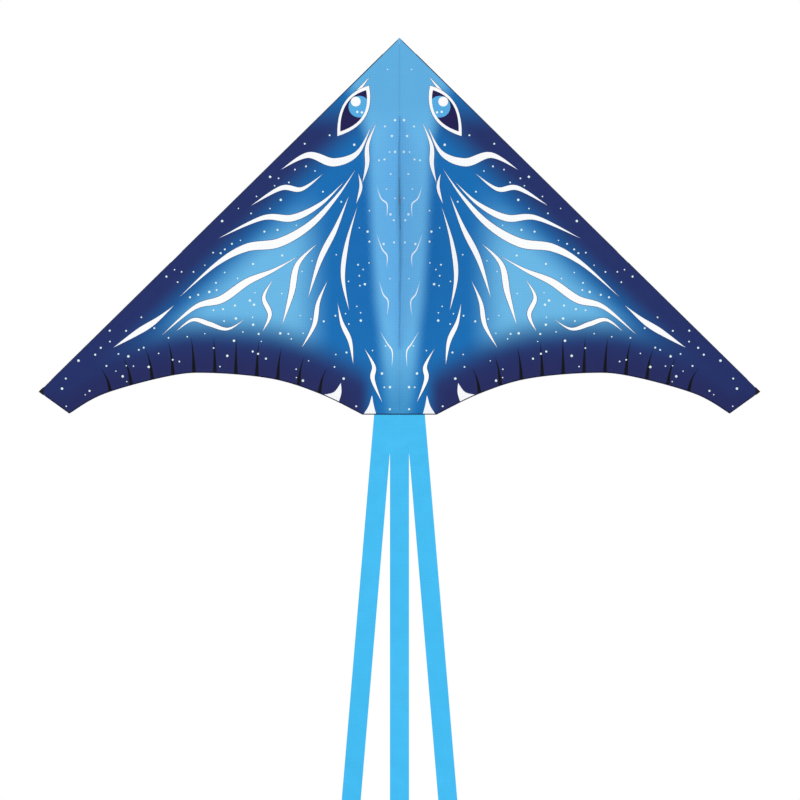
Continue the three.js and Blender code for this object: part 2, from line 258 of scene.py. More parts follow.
@dataclass(frozen=True)
class PrintedRipstop:
    """Coated ripstop that takes its ink from the mesh's print colours."""

    name: str
    roughness: float = 0.52

    def material(self) -> bpy.types.Material:
        """The finish as a material."""
        graph = Graph(self.name)
        cloth = Ripstop(graph)
        ink = graph.node("ShaderNodeVertexColor", {"layer_name": "print"})
        lines, mottle = cloth.lines(), cloth.mottle(0.35)
        faded = graph.blend(mottle, ink, (0.94, 0.945, 0.955), "MULTIPLY")
        woven = graph.blend(lines, faded, (1.1, 1.09, 1.07), "MULTIPLY")
        height = cloth.threads() * 0.25 + lines * 0.8 + cloth.mottle(1.6, 4.0) * 1.4
        graph.set(
            Base_Color=woven,
            Roughness=self.roughness + mottle * 0.1 - lines * 0.05,
            Normal=graph.bump(height, 0.00006, 0.5),
            Specular_IOR_Level=0.08,
        )
        return graph.material


@dataclass(frozen=True)
class DyedRipstop:
    """Coated ripstop of one dyed colour, with a slight crease pattern."""

    name: str
    colour: str
    roughness: float = 0.5

    def material(self) -> bpy.types.Material:
        """The finish as a material."""
        graph = Graph(self.name)
        cloth = Ripstop(graph)
        lines, mottle = cloth.lines(), cloth.mottle(0.3)
        base = linear(self.colour)
        deep = tuple(0.86 * c for c in base)
        dyed = graph.blend(mottle, base, deep)
        woven = graph.blend(lines, dyed, (1.08, 1.07, 1.05), "MULTIPLY")
        height = cloth.threads() * 0.25 + lines * 0.8 + cloth.mottle(0.9, 4.0) * 1.6
        graph.set(
            Base_Color=woven,
            Roughness=self.roughness + mottle * 0.12,
            Normal=graph.bump(height, 0.00006, 0.6),
            Specular_IOR_Level=0.15,
        )
        return graph.material


@dataclass(frozen=True)
class WovenTape:
    """Woven polyester tape or webbing with visible ribs along its run."""

    name: str
    colour: str
    rib_cm: float = 0.12
    roughness: float = 0.82

    def material(self) -> bpy.types.Material:
        """The finish as a material."""
        graph = Graph(self.name)
        cloth = Ripstop(graph)
        turn = 2 * math.pi / self.rib_cm
        ribs = (cloth.across * turn).math("SINE") * 0.5 + 0.5
        picks = (cloth.along * (turn * 1.7)).math("SINE") * 0.5 + 0.5
        fuzz = cloth.mottle(14.0, 5.0)
        base = linear(self.colour)
        light = tuple(min(1.0, 1.5 * c + 0.006) for c in base)
        graph.set(
            Base_Color=graph.blend(ribs * 0.35 + fuzz * 0.4, base, light),
            Roughness=self.roughness + fuzz * 0.12,
            Normal=graph.bump(ribs * picks + fuzz * 0.5, 0.00012, 0.8),
            Sheen_Weight=0.04,
            Sheen_Roughness=0.5,
            Specular_IOR_Level=0.15,
        )
        return graph.material


@dataclass(frozen=True)
class Thread:
    """Bonded polyester sewing thread with a slight twist."""

    name: str
    colour: str

    def material(self) -> bpy.types.Material:
        """The finish as a material."""
        graph = Graph(self.name)
        place = graph.node("ShaderNodeTexCoord").part("Object")
        wave = {"Vector": place, "Scale": 900.0}
        twist = graph.node("ShaderNodeTexWave", {"bands_direction": "DIAGONAL"}, wave)
        base = linear(self.colour)
        graph.set(
            Base_Color=graph.blend(twist * 0.3, base, tuple(0.6 * c for c in base)),
            Roughness=0.55 + twist * 0.1,
            Specular_IOR_Level=0.35,
        )
        return graph.material


@dataclass(frozen=True)
class Moulding:
    """A rod, cap, clip or eyelet: one body colour with a fine grain and scuffs."""

    name: str
    colour: str
    worn: str
    roughness: float
    metallic: float = 0.0
    scale: float = 220.0
    relief: float = 0.00003
    gloss: float = 0.5

    def material(self) -> bpy.types.Material:
        """The finish as a material."""
        graph = Graph(self.name)
        place = graph.node("ShaderNodeTexCoord").part("Object")
        grain = graph.noise(place, self.scale, 4.0)
        scuffs = graph.noise(place, 60.0, 5.0)
        stops = [(0.52, (0, 0, 0)), (0.72, (1, 1, 1))]
        worn = graph.node("ShaderNodeValToRGB", {"stops": stops}, {"Fac": scuffs})
        colour = graph.blend(worn * 0.3 + grain * 0.25, linear(self.colour), linear(self.worn))
        graph.set(
            Base_Color=colour,
            Metallic=self.metallic,
            Specular_IOR_Level=self.gloss,
            Roughness=self.roughness + grain * 0.12 + worn * 0.1,
            Normal=graph.bump(grain + scuffs * 0.5, self.relief, 0.8),
        )
        return graph.material


class Finish(Enum):
    """Every finish on the kite, each with the record's slot that it belongs to."""

    SAIL = (PrintedRipstop("printed_ripstop"), "sail_print")
    KEEL = (DyedRipstop("keel_ripstop", "5caade"), "keel_cloth")
    RIBBON = (DyedRipstop("ribbon_ripstop", "40c0f8"), "ribbon_cloth")
    BINDING = (WovenTape("edge_binding", "0c1030"), "binding_tape")
    SLEEVE = (WovenTape("sleeve_cloth", "23294e", rib_cm=0.06), "sleeve_cloth")
    WEBBING = (WovenTape("black_webbing", "15161a", rib_cm=0.16), "webbing")
    SAIL_THREAD = (Thread("navy_thread", "3c4a82"), "binding_tape")
    KEEL_THREAD = (Thread("blue_thread", "7fc3ea"), "keel_cloth")
    ROD = (
        Moulding("fibre_rod", "121316", "2e3136", 0.32, scale=380.0, gloss=0.35),
        "rod_composite",
    )
    VINYL = (Moulding("soft_vinyl", "060708", "15161a", 0.5, scale=500.0, gloss=0.18), "vinyl")
    NICKEL = (
        Moulding("nickel_plate", "c9ccd1", "b3b6bc", 0.24, metallic=1.0, relief=0.000002),
        "eyelet_metal",
    )

    def dress(self, piece: bpy.types.Object) -> None:
        """Puts this finish on a piece."""
        piece.data.materials.clear()
        name = self.value[0].name
        material = bpy.data.materials.get(name) or self.value[0].material()
        piece.data.materials.append(material)


# ---------------------------------------------------------------------------------------------
# The kite's plan and the sail's surface
# ---------------------------------------------------------------------------------------------


def smooth_curve(points: Sequence[Point], count: int) -> list[Point]:
    """A smooth curve through points.

    Args:
        points: the points that it goes through.
        count: how many steps to divide it into.

    Returns:
        count + 1 points along it.
    """
    table = np.array(points, float)
    last = len(table) - 1
    curve = []
    for place in np.linspace(0, last, count + 1):
        i = min(int(place), last - 1)
        t = place - i
        p0, p1 = table[max(i - 1, 0)], table[i]
        p2, p3 = table[i + 1], table[min(i + 2, last)]
        v0, v1 = (p2 - p0) / 2, (p3 - p1) / 2
        point = (2 * p1 - 2 * p2 + v0 + v1) * t**3 + (3 * p2 - 3 * p1 - 2 * v0 - v1) * t**2
        curve.append(tuple(point + v0 * t + p1))
    return curve


@dataclass(frozen=True)
class Plan:
    """The kite's plan, with its place in the frame read from the CAD nodes."""

    nose_z: float
    sail_y: float
    half_span: float
    centre_drop: float
    edge_angle: float = math.radians(45.5)
    crease_angle: float = math.radians(27)
    tip_foot: Point = (642, 730)
    trailing: tuple[Point, ...] = (
        (574, 691.5), (450, 657.5), (370, 651), (248, 662.5), (155, 691.5), (72, 732),
    )
    belly: float = 6.5
    folds: float = 2.2
    ripples: float = 0.9

    @classmethod
    def from_frame(cls) -> Plan:
        """Reads the nose, the sail's plane, the span and the drop from the CAD nodes."""
        low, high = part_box("sail_inner_right")
        half_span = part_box("sail_wing_right")[1].x / MM
        nose_z = round(high.z, 2)
        drop = round((nose_z - low.z) / MM, 1)
        return cls(nose_z, (low.y + high.y) / 2, round(half_span, 1), drop)

    @property
    def tip(self) -> Point:
        """The wing's corner."""
        return (self.half_span, self.half_span / math.tan(self.edge_angle))

    @property
    def edge_length(self) -> float:
        """The leading edge's length."""
        return math.hypot(*self.tip)

    def trailing_curve(self) -> list[Point]:
        """The trailing edge from the wing's foot to the centre's flat."""
        return smooth_curve([self.tip_foot, *self.trailing], 96)

    def outline(self) -> list[Point]:
        """One half of the sail, from the nose round by the wing."""
        tip, foot = np.array(self.tip), np.array(self.tip_foot)
        edge = [tuple(tip * share) for share in np.linspace(0, 1, 90)]
        end = [tuple(tip + (foot - tip) * share) for share in (0.25, 0.5, 0.75)]
        base = [(x, self.centre_drop) for x in (60, 48, 36, 24, 12, 0.1)]
        seam = [(0.1, d) for d in np.linspace(self.centre_drop, 8, 80)[1:]]
        return [*edge, *end, *self.trailing_curve(), *base, *seam]

    def on_edge(self, along: float, inside: float) -> Point:
        """The plan point at a distance along the leading edge from the nose, and inside it."""
        sine, cosine = math.sin(self.edge_angle), math.cos(self.edge_angle)
        return (along * sine - inside * cosine, along * cosine + inside * sine)

    def inside_edge(self, x: np.ndarray, d: np.ndarray) -> np.ndarray:
        """How far points lie inside the leading edge."""
        return d * math.sin(self.edge_angle) - x * math.cos(self.edge_angle)

    def above_trailing(self, x: np.ndarray, d: np.ndarray) -> np.ndarray:
        """How far points lie above the trailing edge."""
        curve = np.array([(0, self.centre_drop), *reversed(self.trailing_curve())])
        return np.interp(x, curve[:, 0], curve[:, 1]) - d

    def lift(self, x: float, d: float) -> float:
        """How far the cloth stands behind its flat plane: a belly and a few soft folds."""
        reach = math.hypot(x, d) + 1e-6
        angle = math.atan2(abs(x), max(d, 1e-6)) / self.edge_angle
        if angle >= 1:
            return 0.0
        belly = self.belly * math.sin(math.pi * angle) * min(reach / 760, 1.2) ** 1.3
        held = math.sin(math.pi * angle) ** 0.6
        folds = noise.noise(Vector((7 * angle, reach / 420, 3.0))) * self.folds
        ripples = noise.noise(Vector((19 * angle, reach / 260, 9.0))) * self.ripples
        return belly + held * (folds + ripples) * min(reach / 500, 1.3)

    def place(self, x: float, d: float, back: float = 0.0) -> Place:
        """The frame's metres for a plan point, a distance behind the cloth's own surface."""
        y = self.sail_y + (self.lift(x, d) + back) * MM
        return (x * MM, y, self.nose_z - d * MM)

    def crease_span(self, side: int, half_width: float) -> tuple[Vector, Vector]:
        """Start and end of a strip across the wing's crease."""
        reach = 300.0
        sine, cosine = math.sin(self.crease_angle), math.cos(self.crease_angle)
        middle = Vector((side * reach * sine, 0.0, -reach * cosine)) * MM
        across = Vector((side * cosine, 0.0, sine)) * half_width * MM
        origin = Vector((0.0, self.sail_y, self.nose_z))
        return origin + middle - across, origin + middle + across


# ---------------------------------------------------------------------------------------------
# Mesh making
# ---------------------------------------------------------------------------------------------


def signed_area(ring: Sequence[Point]) -> float:
    """An outline's area, negative where it turns the other way round."""
    return sum(a[0] * b[1] - b[0] * a[1] for a, b in zip(ring, ring[1:] + ring[:1])) / 2


def shade_smooth(mesh: bpy.types.Mesh) -> None:
    """Marks every face of a mesh as smooth."""
    mesh.polygons.foreach_set("use_smooth", [True] * len(mesh.polygons))


def make_object(
    name: str, points: Sequence[Sequence[float]], faces: Sequence[Sequence[int]]
) -> bpy.types.Object:
    """A smooth-shaded mesh object in the scene, from points in metres."""
    mesh = bpy.data.meshes.new(name)
    mesh.from_pydata([tuple(p) for p in points], [], [tuple(f) for f in faces])
    mesh.update()
    shade_smooth(mesh)
    piece = bpy.data.objects.new(name, mesh)
    bpy.context.scene.collection.objects.link(piece)
    return piece


def write_cloth_map(piece: bpy.types.Object, places: Sequence[Point]) -> None:
    """Stores a UV map named cloth, in centimetres, from each vertex's place in millimetres."""
    layer = piece.data.uv_layers.new(name="cloth")
    corners = np.zeros(len(piece.data.loops), dtype=np.int64)
    piece.data.loops.foreach_get("vertex_index", corners)
    values = np.array(places, float)[corners] / 10
    layer.data.foreach_set("uv", values.astype(np.float32).ravel())


def rim_of(triangles: Sequence[Sequence[int]]) -> list[tuple[int, int]]:
    """The directed edges that only one triangle uses."""
    used = {edge: True for a, b, c in triangles for edge in ((a, b), (b, c), (c, a))}
    return [edge for edge in used if (edge[1], edge[0]) not in used]


@dataclass
class Cloth:
    """A thin two-faced sheet made from flat triangles.

    Attributes:
        plan: flat places in millimetres, one for each vertex.
        triangles: vertex numbers, turning left seen from the front.
        lie: gives the frame's metres for a flat place and a distance behind the middle.
        thick: the cloth's thickness in millimetres.
    """

    plan: list[Point]
    triangles: list[Triangle]
    lie: Lie
    thick: float = 0.3

    def build(self, name: str) -> bpy.types.Object:
        """Makes the front, the back and the rim between them."""
        count = len(self.plan)
        front = [self.lie(x, d, -self.thick / 2) for x, d in self.plan]
        back = [self.lie(x, d, self.thick / 2) for x, d in self.plan]
        faces = [tuple(t) for t in self.triangles]
        faces += [tuple(i + count for i in reversed(t)) for t in self.triangles]
        rim = [(b, a, a + count, b + count) for a, b in rim_of(self.triangles)]
        piece = make_object(name, front + back, faces + rim)
        sharpen(piece, 60)
        write_cloth_map(piece, self.plan + self.plan)
        return piece


def grid_triangles(rows: int, columns: int) -> list[Triangle]:
    """Triangles of a grid whose rows run downwards and whose columns run to the right."""
    made = []
    for i in range(rows - 1):
        for j in range(columns - 1):
            a, b = i * columns + j, i * columns + j + 1
            c, e = a + columns, b + columns
            made += [(a, c, e), (a, e, b)] if (i + j) % 2 else [(a, c, b), (b, c, e)]
    return made


def thickened(path: np.ndarray, half: float) -> list[np.ndarray]:
    """The outline of a strip round its middle line: out on one side, back on the other."""
    along = np.gradient(path, axis=0)
    along /= np.linalg.norm(along, axis=1)[:, None]
    normal = np.stack([-along[:, 1], along[:, 0]], axis=1) * half
    return [*(path + normal), *(path - normal)[::-1]]


def loft(name: str, rings: Sequence[Sequence[Vector]]) -> bpy.types.Object:
    """A closed body through rings of equal length, each the outline of a thin strip.

    Args:
        name: the new object's name.
        rings: outlines in metres; half of each runs out and the other half runs back.

    Returns:
        The object, with a cloth map along and across it.
    """
    size = len(rings[0])
    points = [p for ring in rings for p in ring]
    faces = []
    for i in range(len(rings) - 1):
        for j in range(size):
            k = (j + 1) % size
            faces.append((i * size + j, i * size + k, (i + 1) * size + k, (i + 1) * size + j))
    for start, turned in ((0, True), ((len(rings) - 1) * size, False)):
        for j in range(size // 2 - 1):
            cap = (start + j, start + j + 1, start + size - 2 - j, start + size - 1 - j)
            faces.append(cap[::-1] if turned else cap)
    piece = make_object(name, points, faces)
    along = np.cumsum([0, *[(b[0] - a[0]).length for a, b in zip(rings, rings[1:])]]) / MM
    ring_map = [float(min(j, size - 1 - j)) for j in range(size)]
    write_cloth_map(piece, [(across, run) for run in along for across in ring_map])
    face_outwards(piece)
    sharpen(piece, 60)
    return piece


def lathe(
    name: str, profile: Sequence[Point], start: Vector, axis: Vector, sides: int = 32
) -> bpy.types.Object:
    """A turned body.

    Args:
        name: the new object's name.
        profile: radius and distance along the axis, in millimetres; a loop, or from the
            axis back to it.
        start: where distance 0 lies, in metres.
        axis: the direction of the distances.
        sides: how many sides the turning has.

    Returns:
        The object, with smooth sides and sharp corners.
    """
    axis = axis.normalized()
    first = axis.orthogonal().normalized()
    second = axis.cross(first)
    closed = profile[0] == profile[-1]
    path = profile[:-1] if closed else profile
    points, index = [], []
    for radius, run in path:
        middle = start + axis * run * MM
        if radius < 1e-6:
            index.append([len(points)] * sides)
            points.append(middle)
            continue
        index.append(list(range(len(points), len(points) + sides)))
        for k in range(sides):
            turn = 2 * math.pi * k / sides
            points.append(middle + (first * math.cos(turn) + second * math.sin(turn)) * radius * MM)
    faces = []
    steps = len(path) if closed else len(path) - 1
    for i in range(steps):
        a, b = index[i], index[(i + 1) % len(path)]
        for k in range(sides):
            m = (k + 1) % sides
            faces.append(tuple(dict.fromkeys((a[k], a[m], b[m], b[k]))))
    piece = make_object(name, points, faces)
    face_outwards(piece)
    sharpen(piece)
    return piece


@contextmanager
def editing(mesh: bpy.types.Mesh) -> Iterator[bmesh.types.BMesh]:
    """Opens a mesh for editing, and writes it back afterwards."""
    work = bmesh.new()
    work.from_mesh(mesh)
    yield work
    work.to_mesh(mesh)
    work.free()


def face_outwards(piece: bpy.types.Object) -> None:
    """Turns every face of a closed mesh to point out."""
    with editing(piece.data) as work:
        bmesh.ops.recalc_face_normals(work, faces=work.faces)


def sharpen(piece: bpy.types.Object, angle: float = 35) -> None:
    """Keeps edges sharper than an angle in degrees crisp under smooth shading."""
    piece.data.set_sharp_from_angle(angle=math.radians(angle))


def rounded(piece: bpy.types.Object, width: float, segments: int = 3) -> None:
    """Rounds the sharp edges of a piece by a width in millimetres, and applies it."""
    bevel = piece.modifiers.new("rounding", "BEVEL")
    bevel.width = width * MM
    bevel.segments = segments
    bevel.limit_method = "ANGLE"
    bevel.angle_limit = math.radians(35)
    bake_modifiers(piece)
    shade_smooth(piece.data)
    sharpen(piece, 50)


def bake_modifiers(piece: bpy.types.Object) -> None:
    """Applies a piece's modifiers to its mesh."""
    graph = bpy.context.evaluated_depsgraph_get()
    graph.update()
    finished = bpy.data.meshes.new_from_object(piece.evaluated_get(graph))
    piece.modifiers.clear()
    piece.data = finished


# ---------------------------------------------------------------------------------------------
# The print
# ---------------------------------------------------------------------------------------------


class Ink(Enum):
    """The flat inks that lie over the shaded ground."""

    WHITE = "fdfeff"
    SPECK = "e4f6f4"
    LINE = "1c3566"
    EDGE = "10142e"
    SLIT = "05060f"
    BARE = "f7f9fc"
    PUPIL = "1d1950"
    IRIS = "55ace2"


@dataclass(frozen=True)
class Patch:
    """One printed area: its outline, its ink, and whether it shows only inside the eye."""

    outline: list[Point]
    ink: Ink
    in_eye: bool = False


@dataclass(frozen=True)
class Streak:
    """A wavy stroke that tapers to a point at both ends."""

    width: float
    path: tuple[Point, ...]

    def outline(self, grow: float = 0.0) -> list[Point]:
        """The stroke's outline, grown outwards by a margin."""
        length = sum(math.dist(a, b) for a, b in zip(self.path, self.path[1:]))
        steps = max(12, round(length / 6))
        line = np.array(smooth_curve(self.path, steps))
        along = np.gradient(line, axis=0)
        along /= np.linalg.norm(along, axis=1)[:, None]
        normal = np.stack([-along[:, 1], along[:, 0]], axis=1)
        share = np.sin(np.pi * np.linspace(0, 1, steps + 1) ** 1.1) ** 1.4
        half = (self.width / 2 * share + grow * np.minimum(1, 0.35 + share))[:, None]
        ends = [line[0] - along[0] * (grow + 0.4), line[-1] + along[-1] * (grow + 0.4)]
        left, right = line + normal * half, line - normal * half
        ring = [ends[0], *left[1:-1], ends[1], *right[1:-1][::-1]]
        return [tuple(p) for p in ring]


def circle(centre: Point, radius: float, sides: int) -> list[Point]:
    """A round outline."""
    turns = [2 * math.pi * k / sides for k in range(sides)]
    return [(centre[0] + radius * math.cos(t), centre[1] + radius * math.sin(t)) for t in turns]


@dataclass
class SkyPrint:
    """The sail's print: a shaded blue ground, white streaks, specks, a row of slits and an eye,
    with painted light down the ground's middle along the keel.

    Attributes:
        plan: the kite's plan.
        pitch: spacing of the mesh that carries the ground's shading.
        specks: how many white specks each half has.
        slits: how many dark slits stand along each trailing edge.
        slit_start: how far out the first slit stands.
        slit_pitch: the distance from one slit to the next.
        slit_half: half a slit's width at its foot.
        edge_line: width of the dark line along the free edges.
        seed: what the specks are drawn from.
    """

    plan: Plan
    pitch: float = 9.0
    specks: int = 150
    slits: int = 11
    slit_start: float = 156
    slit_pitch: float = 40.6
    slit_half: float = 3.8
    edge_line: float = 1.3
    seed: int = 23
    streaks: tuple[Streak, ...] = (
        Streak(16, ((55, 172), (82, 224), (128, 242), (178, 228), (230, 256))),
        Streak(10, ((148, 264), (190, 294), (230, 292), (288, 326))),
        Streak(13, ((108, 280), (152, 322), (208, 350), (266, 350), (352, 390))),
        Streak(
            17, ((84, 254), (120, 306), (172, 362), (234, 398), (298, 408), (356, 440), (428, 504))
        ),
        Streak(15, ((196, 424), (246, 452), (296, 474), (346, 508), (398, 524), (462, 578))),
        Streak(12, ((438, 520), (474, 550), (512, 574), (556, 602))),
        Streak(9, ((300, 546), (334, 566), (370, 556), (402, 548), (434, 570))),
        Streak(9, ((246, 470), (264, 504), (252, 538), (266, 570))),
        Streak(12, ((160, 400), (198, 440), (210, 496), (228, 558))),
        Streak(11, ((98, 306), (124, 370), (154, 430), (178, 506))),
        Streak(9, ((82, 328), (102, 398), (110, 464), (98, 530))),
        Streak(6, ((80, 264), (75, 290), (84, 322))),
        Streak(9, ((44, 164), (62, 208), (63, 246), (72, 282))),
        Streak(9, ((140, 472), (158, 514), (166, 558), (190, 602))),
        Streak(9, ((120, 516), (112, 554), (96, 590), (90, 634))),
        Streak(9, ((68, 604), (50, 638), (52, 664), (34, 708))),
        Streak(2.5, ((44, 288), (36, 312), (24, 324), (25, 350))),
        Streak(2.5, ((45, 380), (34, 410), (24, 424), (25, 446))),
        Streak(2.5, ((40, 472), (32, 498), (22, 512), (24, 540))),
        Streak(2.5, ((38, 570), (24, 594), (14, 610), (15, 640))),
        Streak(5, ((58, 76), (78, 100), (100, 122))),
    )

    def ground(self, x: np.ndarray, d: np.ndarray) -> np.ndarray:
        """The graded printed ground's colour at each place, in linear light; in the centre band it
        also carries painted light along the keel's span.
        """
        x = np.abs(np.asarray(x, float))
        d = np.asarray(d, float)
        inside, above = self.plan.inside_edge(x, d), self.plan.above_trailing(x, d)
        colour = np.broadcast_to(np.array(linear("0e6db4")), (*x.shape, 3)).copy()
        wing = step_up(inside, 58, 128) * step_up(above, 45, 125)
        wing = wing * step_up(x, 128, 214) * step_up(d, 250, 430)
        colour = mix(colour, linear("6ab8e6"), wing)
        low = step_up(d, 520, 620) * step_up(x, 150, 260)
        colour = mix(colour, linear("4585b2"), 0.6 * low * wing)
        edge = (1 - step_up(inside, 26, 98)) * step_up(d, 100, 190)
        hem = (1 - step_up(above, 44, 122)) * step_up(x, 40, 80)
        navy = 1 - (1 - edge) * (1 - hem)
        colour = mix(colour, linear("1f2e67"), navy)
        hem_line = (1 - step_up(above, 10, 60)) * step_up(x, 60, 110) * 0.7
        colour = mix(colour, linear("212458"), hem_line)
        drops = (0, 60, 110, 200, 300, 430, 510, 570, 690, 732)
        near = np.interp(d, drops, (140, 100, 62, 46, 44, 38, 30, 22, 14, 10))
        far = np.interp(d, drops, (200, 160, 112, 76, 70, 63, 60, 52, 41, 38))
        body = 1 - step_up((x - near) / (far - near), 0, 1)
        # Painted light: over the keel's span, about 150 to 610 mm below the nose, the centre band
        # is lifted to a paler blue to offset the shade that the keel throws on the sail.
        painted_light_along_keel = step_up(d, 120, 200) * (1 - step_up(d, 560, 660))
        centre = np.broadcast_to(np.array(linear("5eaee1")), colour.shape)
        centre = mix(centre, linear("6ab9ea"), painted_light_along_keel)
        centre = mix(centre, linear("3a90c8"), step_up(d, 610, 740))
        return colour + (centre - colour) * body[..., None]

    def eye(self) -> list[Patch]:
        """A plain almond eye with a white rim, a round iris and a highlight."""
        upper, lower = np.array((60.0, 94.0)), np.array((120.0, 190.0))
        middle = (upper + lower) / 2
        iris = (78.0, 134.0)
        bows = ((upper, np.array((122, 112)), lower), (lower, np.array((46, 166)), upper))

        def almond(share: float, grow: float = 0.0) -> list[Point]:
            ring = []
            for start, control, end in bows:
                for t in np.linspace(0, 1, 14)[:-1]:
                    p = (1 - t) ** 2 * start + 2 * t * (1 - t) * control + t * t * end
                    away = (p - middle) / np.linalg.norm(p - middle)
                    ring.append(tuple(middle + (p - middle) * share + away * grow))
            return ring

        glints = [(iris[0] + 9 * k - 5, iris[1] + 11 - abs(k)) for k in (-1, 0, 1)]
        return [
            Patch(almond(1.0, 2.2), Ink.LINE),
            Patch(almond(1.0, 1.2), Ink.WHITE),
            Patch(almond(0.84), Ink.PUPIL),
            Patch(circle(iris, 21, 32), Ink.IRIS, in_eye=True),
            Patch(circle((85, 124), 9.5, 20), Ink.WHITE, in_eye=True),
            *[Patch(circle(glint, 2.2, 10), Ink.WHITE, in_eye=True) for glint in glints],
        ]

    def slit_row(self) -> list[Patch]:
        """Dark slits that rise from the trailing edge, the outer ones leaning outwards."""
        curve = sorted(self.plan.trailing_curve())
        made = []
        for i in range(self.slits):
            base = self.slit_start + self.slit_pitch * i
            drop = float(np.interp(base, [p[0] for p in curve], [p[1] for p in curve]))
            height = 38 + 34 * math.sin(math.pi * (i + 1.5) / 12.5)
            lean = -15 + 3.5 * i
            tip = (base + lean, drop - height)
            bend = (base + lean * 0.35, drop - height * 0.55)
            rise = smooth_curve([(base - self.slit_half, drop), (bend[0] - 1.7, bend[1]), tip], 8)
            fall = smooth_curve([tip, (bend[0] + 1.7, bend[1]), (base + self.slit_half, drop)], 8)
            made.append(Patch([*rise, *fall[1:]], Ink.SLIT))
        return made

    def notches(self) -> list[Patch]:
        """Two unprinted bites at the trailing edge, beside the body."""
        flanks = (
            (((150, 694), (128, 689), (116, 674)), ((114, 671), (113, 690), (119, 710))),
            (((71, 733), (60, 716), (54, 696)), ((53, 696), (50, 714), (45, 733))),
        )
        return [
            Patch([*smooth_curve(first, 8), *smooth_curve(second, 8)], Ink.BARE)
            for first, second in flanks
        ]

    def speck_places(self) -> list[tuple[Point, float]]:
        """Scattered specks, clear of the streaks, the eye and each other."""
        draw = random.Random(self.seed)
        lines = [(np.array(smooth_curve(s.path, 40)), s.width / 2 + 4) for s in self.streaks]
        found: list[tuple[Point, float]] = []
        while len(found) < self.specks:
            x, d = draw.uniform(6, 660), draw.uniform(60, 728)
            radius = draw.choice((1.2, 1.4, 1.6, 1.8, 2.0, 2.4))
            inside = self.plan.inside_edge(x, d)
            above = float(self.plan.above_trailing(np.array(x), np.array(d)))
            if inside < 10 or above < 9 or (x < 44 and draw.random() < 0.45):
                continue
            if any(np.min(np.hypot(line[:, 0] - x, line[:, 1] - d)) < room for line, room in lines):
                continue
            if math.dist((x, d), (88, 140)) < 66:
                continue
            if any(math.dist((x, d), other) < 10 for other, _ in found):
                continue
            found.append(((x, d), radius))
        return found

    def patches(self) -> list[Patch]:
        """Every printed area, the lowest layer first."""
        made = self.slit_row() + self.notches()
        made += [Patch(circle(*speck, 10), Ink.SPECK) for speck in self.speck_places()]
        made += [Patch(s.outline(0.9), Ink.LINE) for s in self.streaks if s.width > 4]
        made += [Patch(s.outline(), Ink.WHITE) for s in self.streaks]
        return made + self.eye()

    def margin(self) -> list[Point]:
        """The half sail's outline, drawn in by the line along its free edges."""
        ring = np.array(self.plan.outline())
        into = np.roll(ring, 1, axis=0) - ring
        out = ring - np.roll(ring, -1, axis=0)
        tangent = into / np.linalg.norm(into, axis=1)[:, None]
        tangent = tangent + out / np.linalg.norm(out, axis=1)[:, None]
        tangent /= np.linalg.norm(tangent, axis=1)[:, None] + 1e-9
        inner = ring + np.stack([tangent[:, 1], -tangent[:, 0]], axis=1) * self.edge_line
        keep = ring[:, 0] > 0.2
        return [tuple(p if k else (0.1, r[1])) for p, k, r in zip(inner, keep, ring)]

    def lay_out(self) -> tuple[list[Point], list[Triangle], list[Ink | None]]:
        """Cuts the right half into triangles that follow every printed outline.

        Returns:
            The flat places, the triangles, and each triangle's ink, or None on the ground.
        """
        rings = [(self.plan.outline(), Ink.EDGE, False), (self.margin(), None, False)]
        rings += [(p.outline, p.ink, p.in_eye) for p in self.patches()]
        points: list[Vector] = []
        faces: list[list[int]] = []
        for ring, _, _ in rings:
            ordered = ring if signed_area(ring) < 0 else ring[::-1]
            faces.append(list(range(len(points), len(points) + len(ordered))))
            points += [Vector((x, -d)) for x, d in ordered]
        edges: list[tuple[int, int]] = []
        for line in self._crease_lines():
            first = len(points)
            points += [Vector((x, -d)) for x, d in line]
            edges += [(i, i + 1) for i in range(first, len(points) - 1)]
        points += self._filling(np.array([(p.x, -p.y) for p in points]))
        cut = delaunay_2d_cdt(points, edges, faces, 1, 0.02, True)
        places, _, triangles, _, _, origins = cut
        pupil = next(i for i, (_, ink, _) in enumerate(rings) if ink is Ink.PUPIL)
        kept: list[Triangle] = []
        inks: list[Ink | None] = []
        for triangle, sources in zip(triangles, origins):
            if 0 not in sources:
                continue
            top = max(s for s in sources if not rings[s][2] or pupil in sources)
            kept.append(tuple(triangle))
            inks.append(rings[top][1])
        return [(p.x, -p.y) for p in places], kept, inks

    def _crease_lines(self) -> list[list[Point]]:
        """Lines along the wing's crease, close enough for the cloth to bend smoothly."""
        sine, cosine = math.sin(self.plan.crease_angle), math.cos(self.plan.crease_angle)
        lines = []
        for aside in np.linspace(-CREASE_HALF_WIDTH, CREASE_HALF_WIDTH, 7):
            runs = np.arange(50, 740, self.pitch)
            along = [(r * sine + aside * cosine, r * cosine - aside * sine) for r in runs]
            lines.append([p for p in along if self.plan.above_trailing(*p) > 3])
        return lines

    def _filling(self, taken: np.ndarray) -> list[Vector]:
        """Even points over the half sail, away from the printed outlines."""
        added = []
        rows = np.arange(12, self.plan.centre_drop, self.pitch * 0.87)
        for number, d in enumerate(rows):
            start = 5 + (number % 2) * self.pitch / 2
            for x in np.arange(start, self.plan.half_span, self.pitch):
                if min(self.plan.inside_edge(x, d), self.plan.above_trailing(x, d)) < 4:
                    continue
                if np.min(np.abs(taken[:, 0] - x) + np.abs(taken[:, 1] - d)) > 3.5:
                    added.append(Vector((x, -d)))
        return added


# ---------------------------------------------------------------------------------------------
# Sewing
# ---------------------------------------------------------------------------------------------


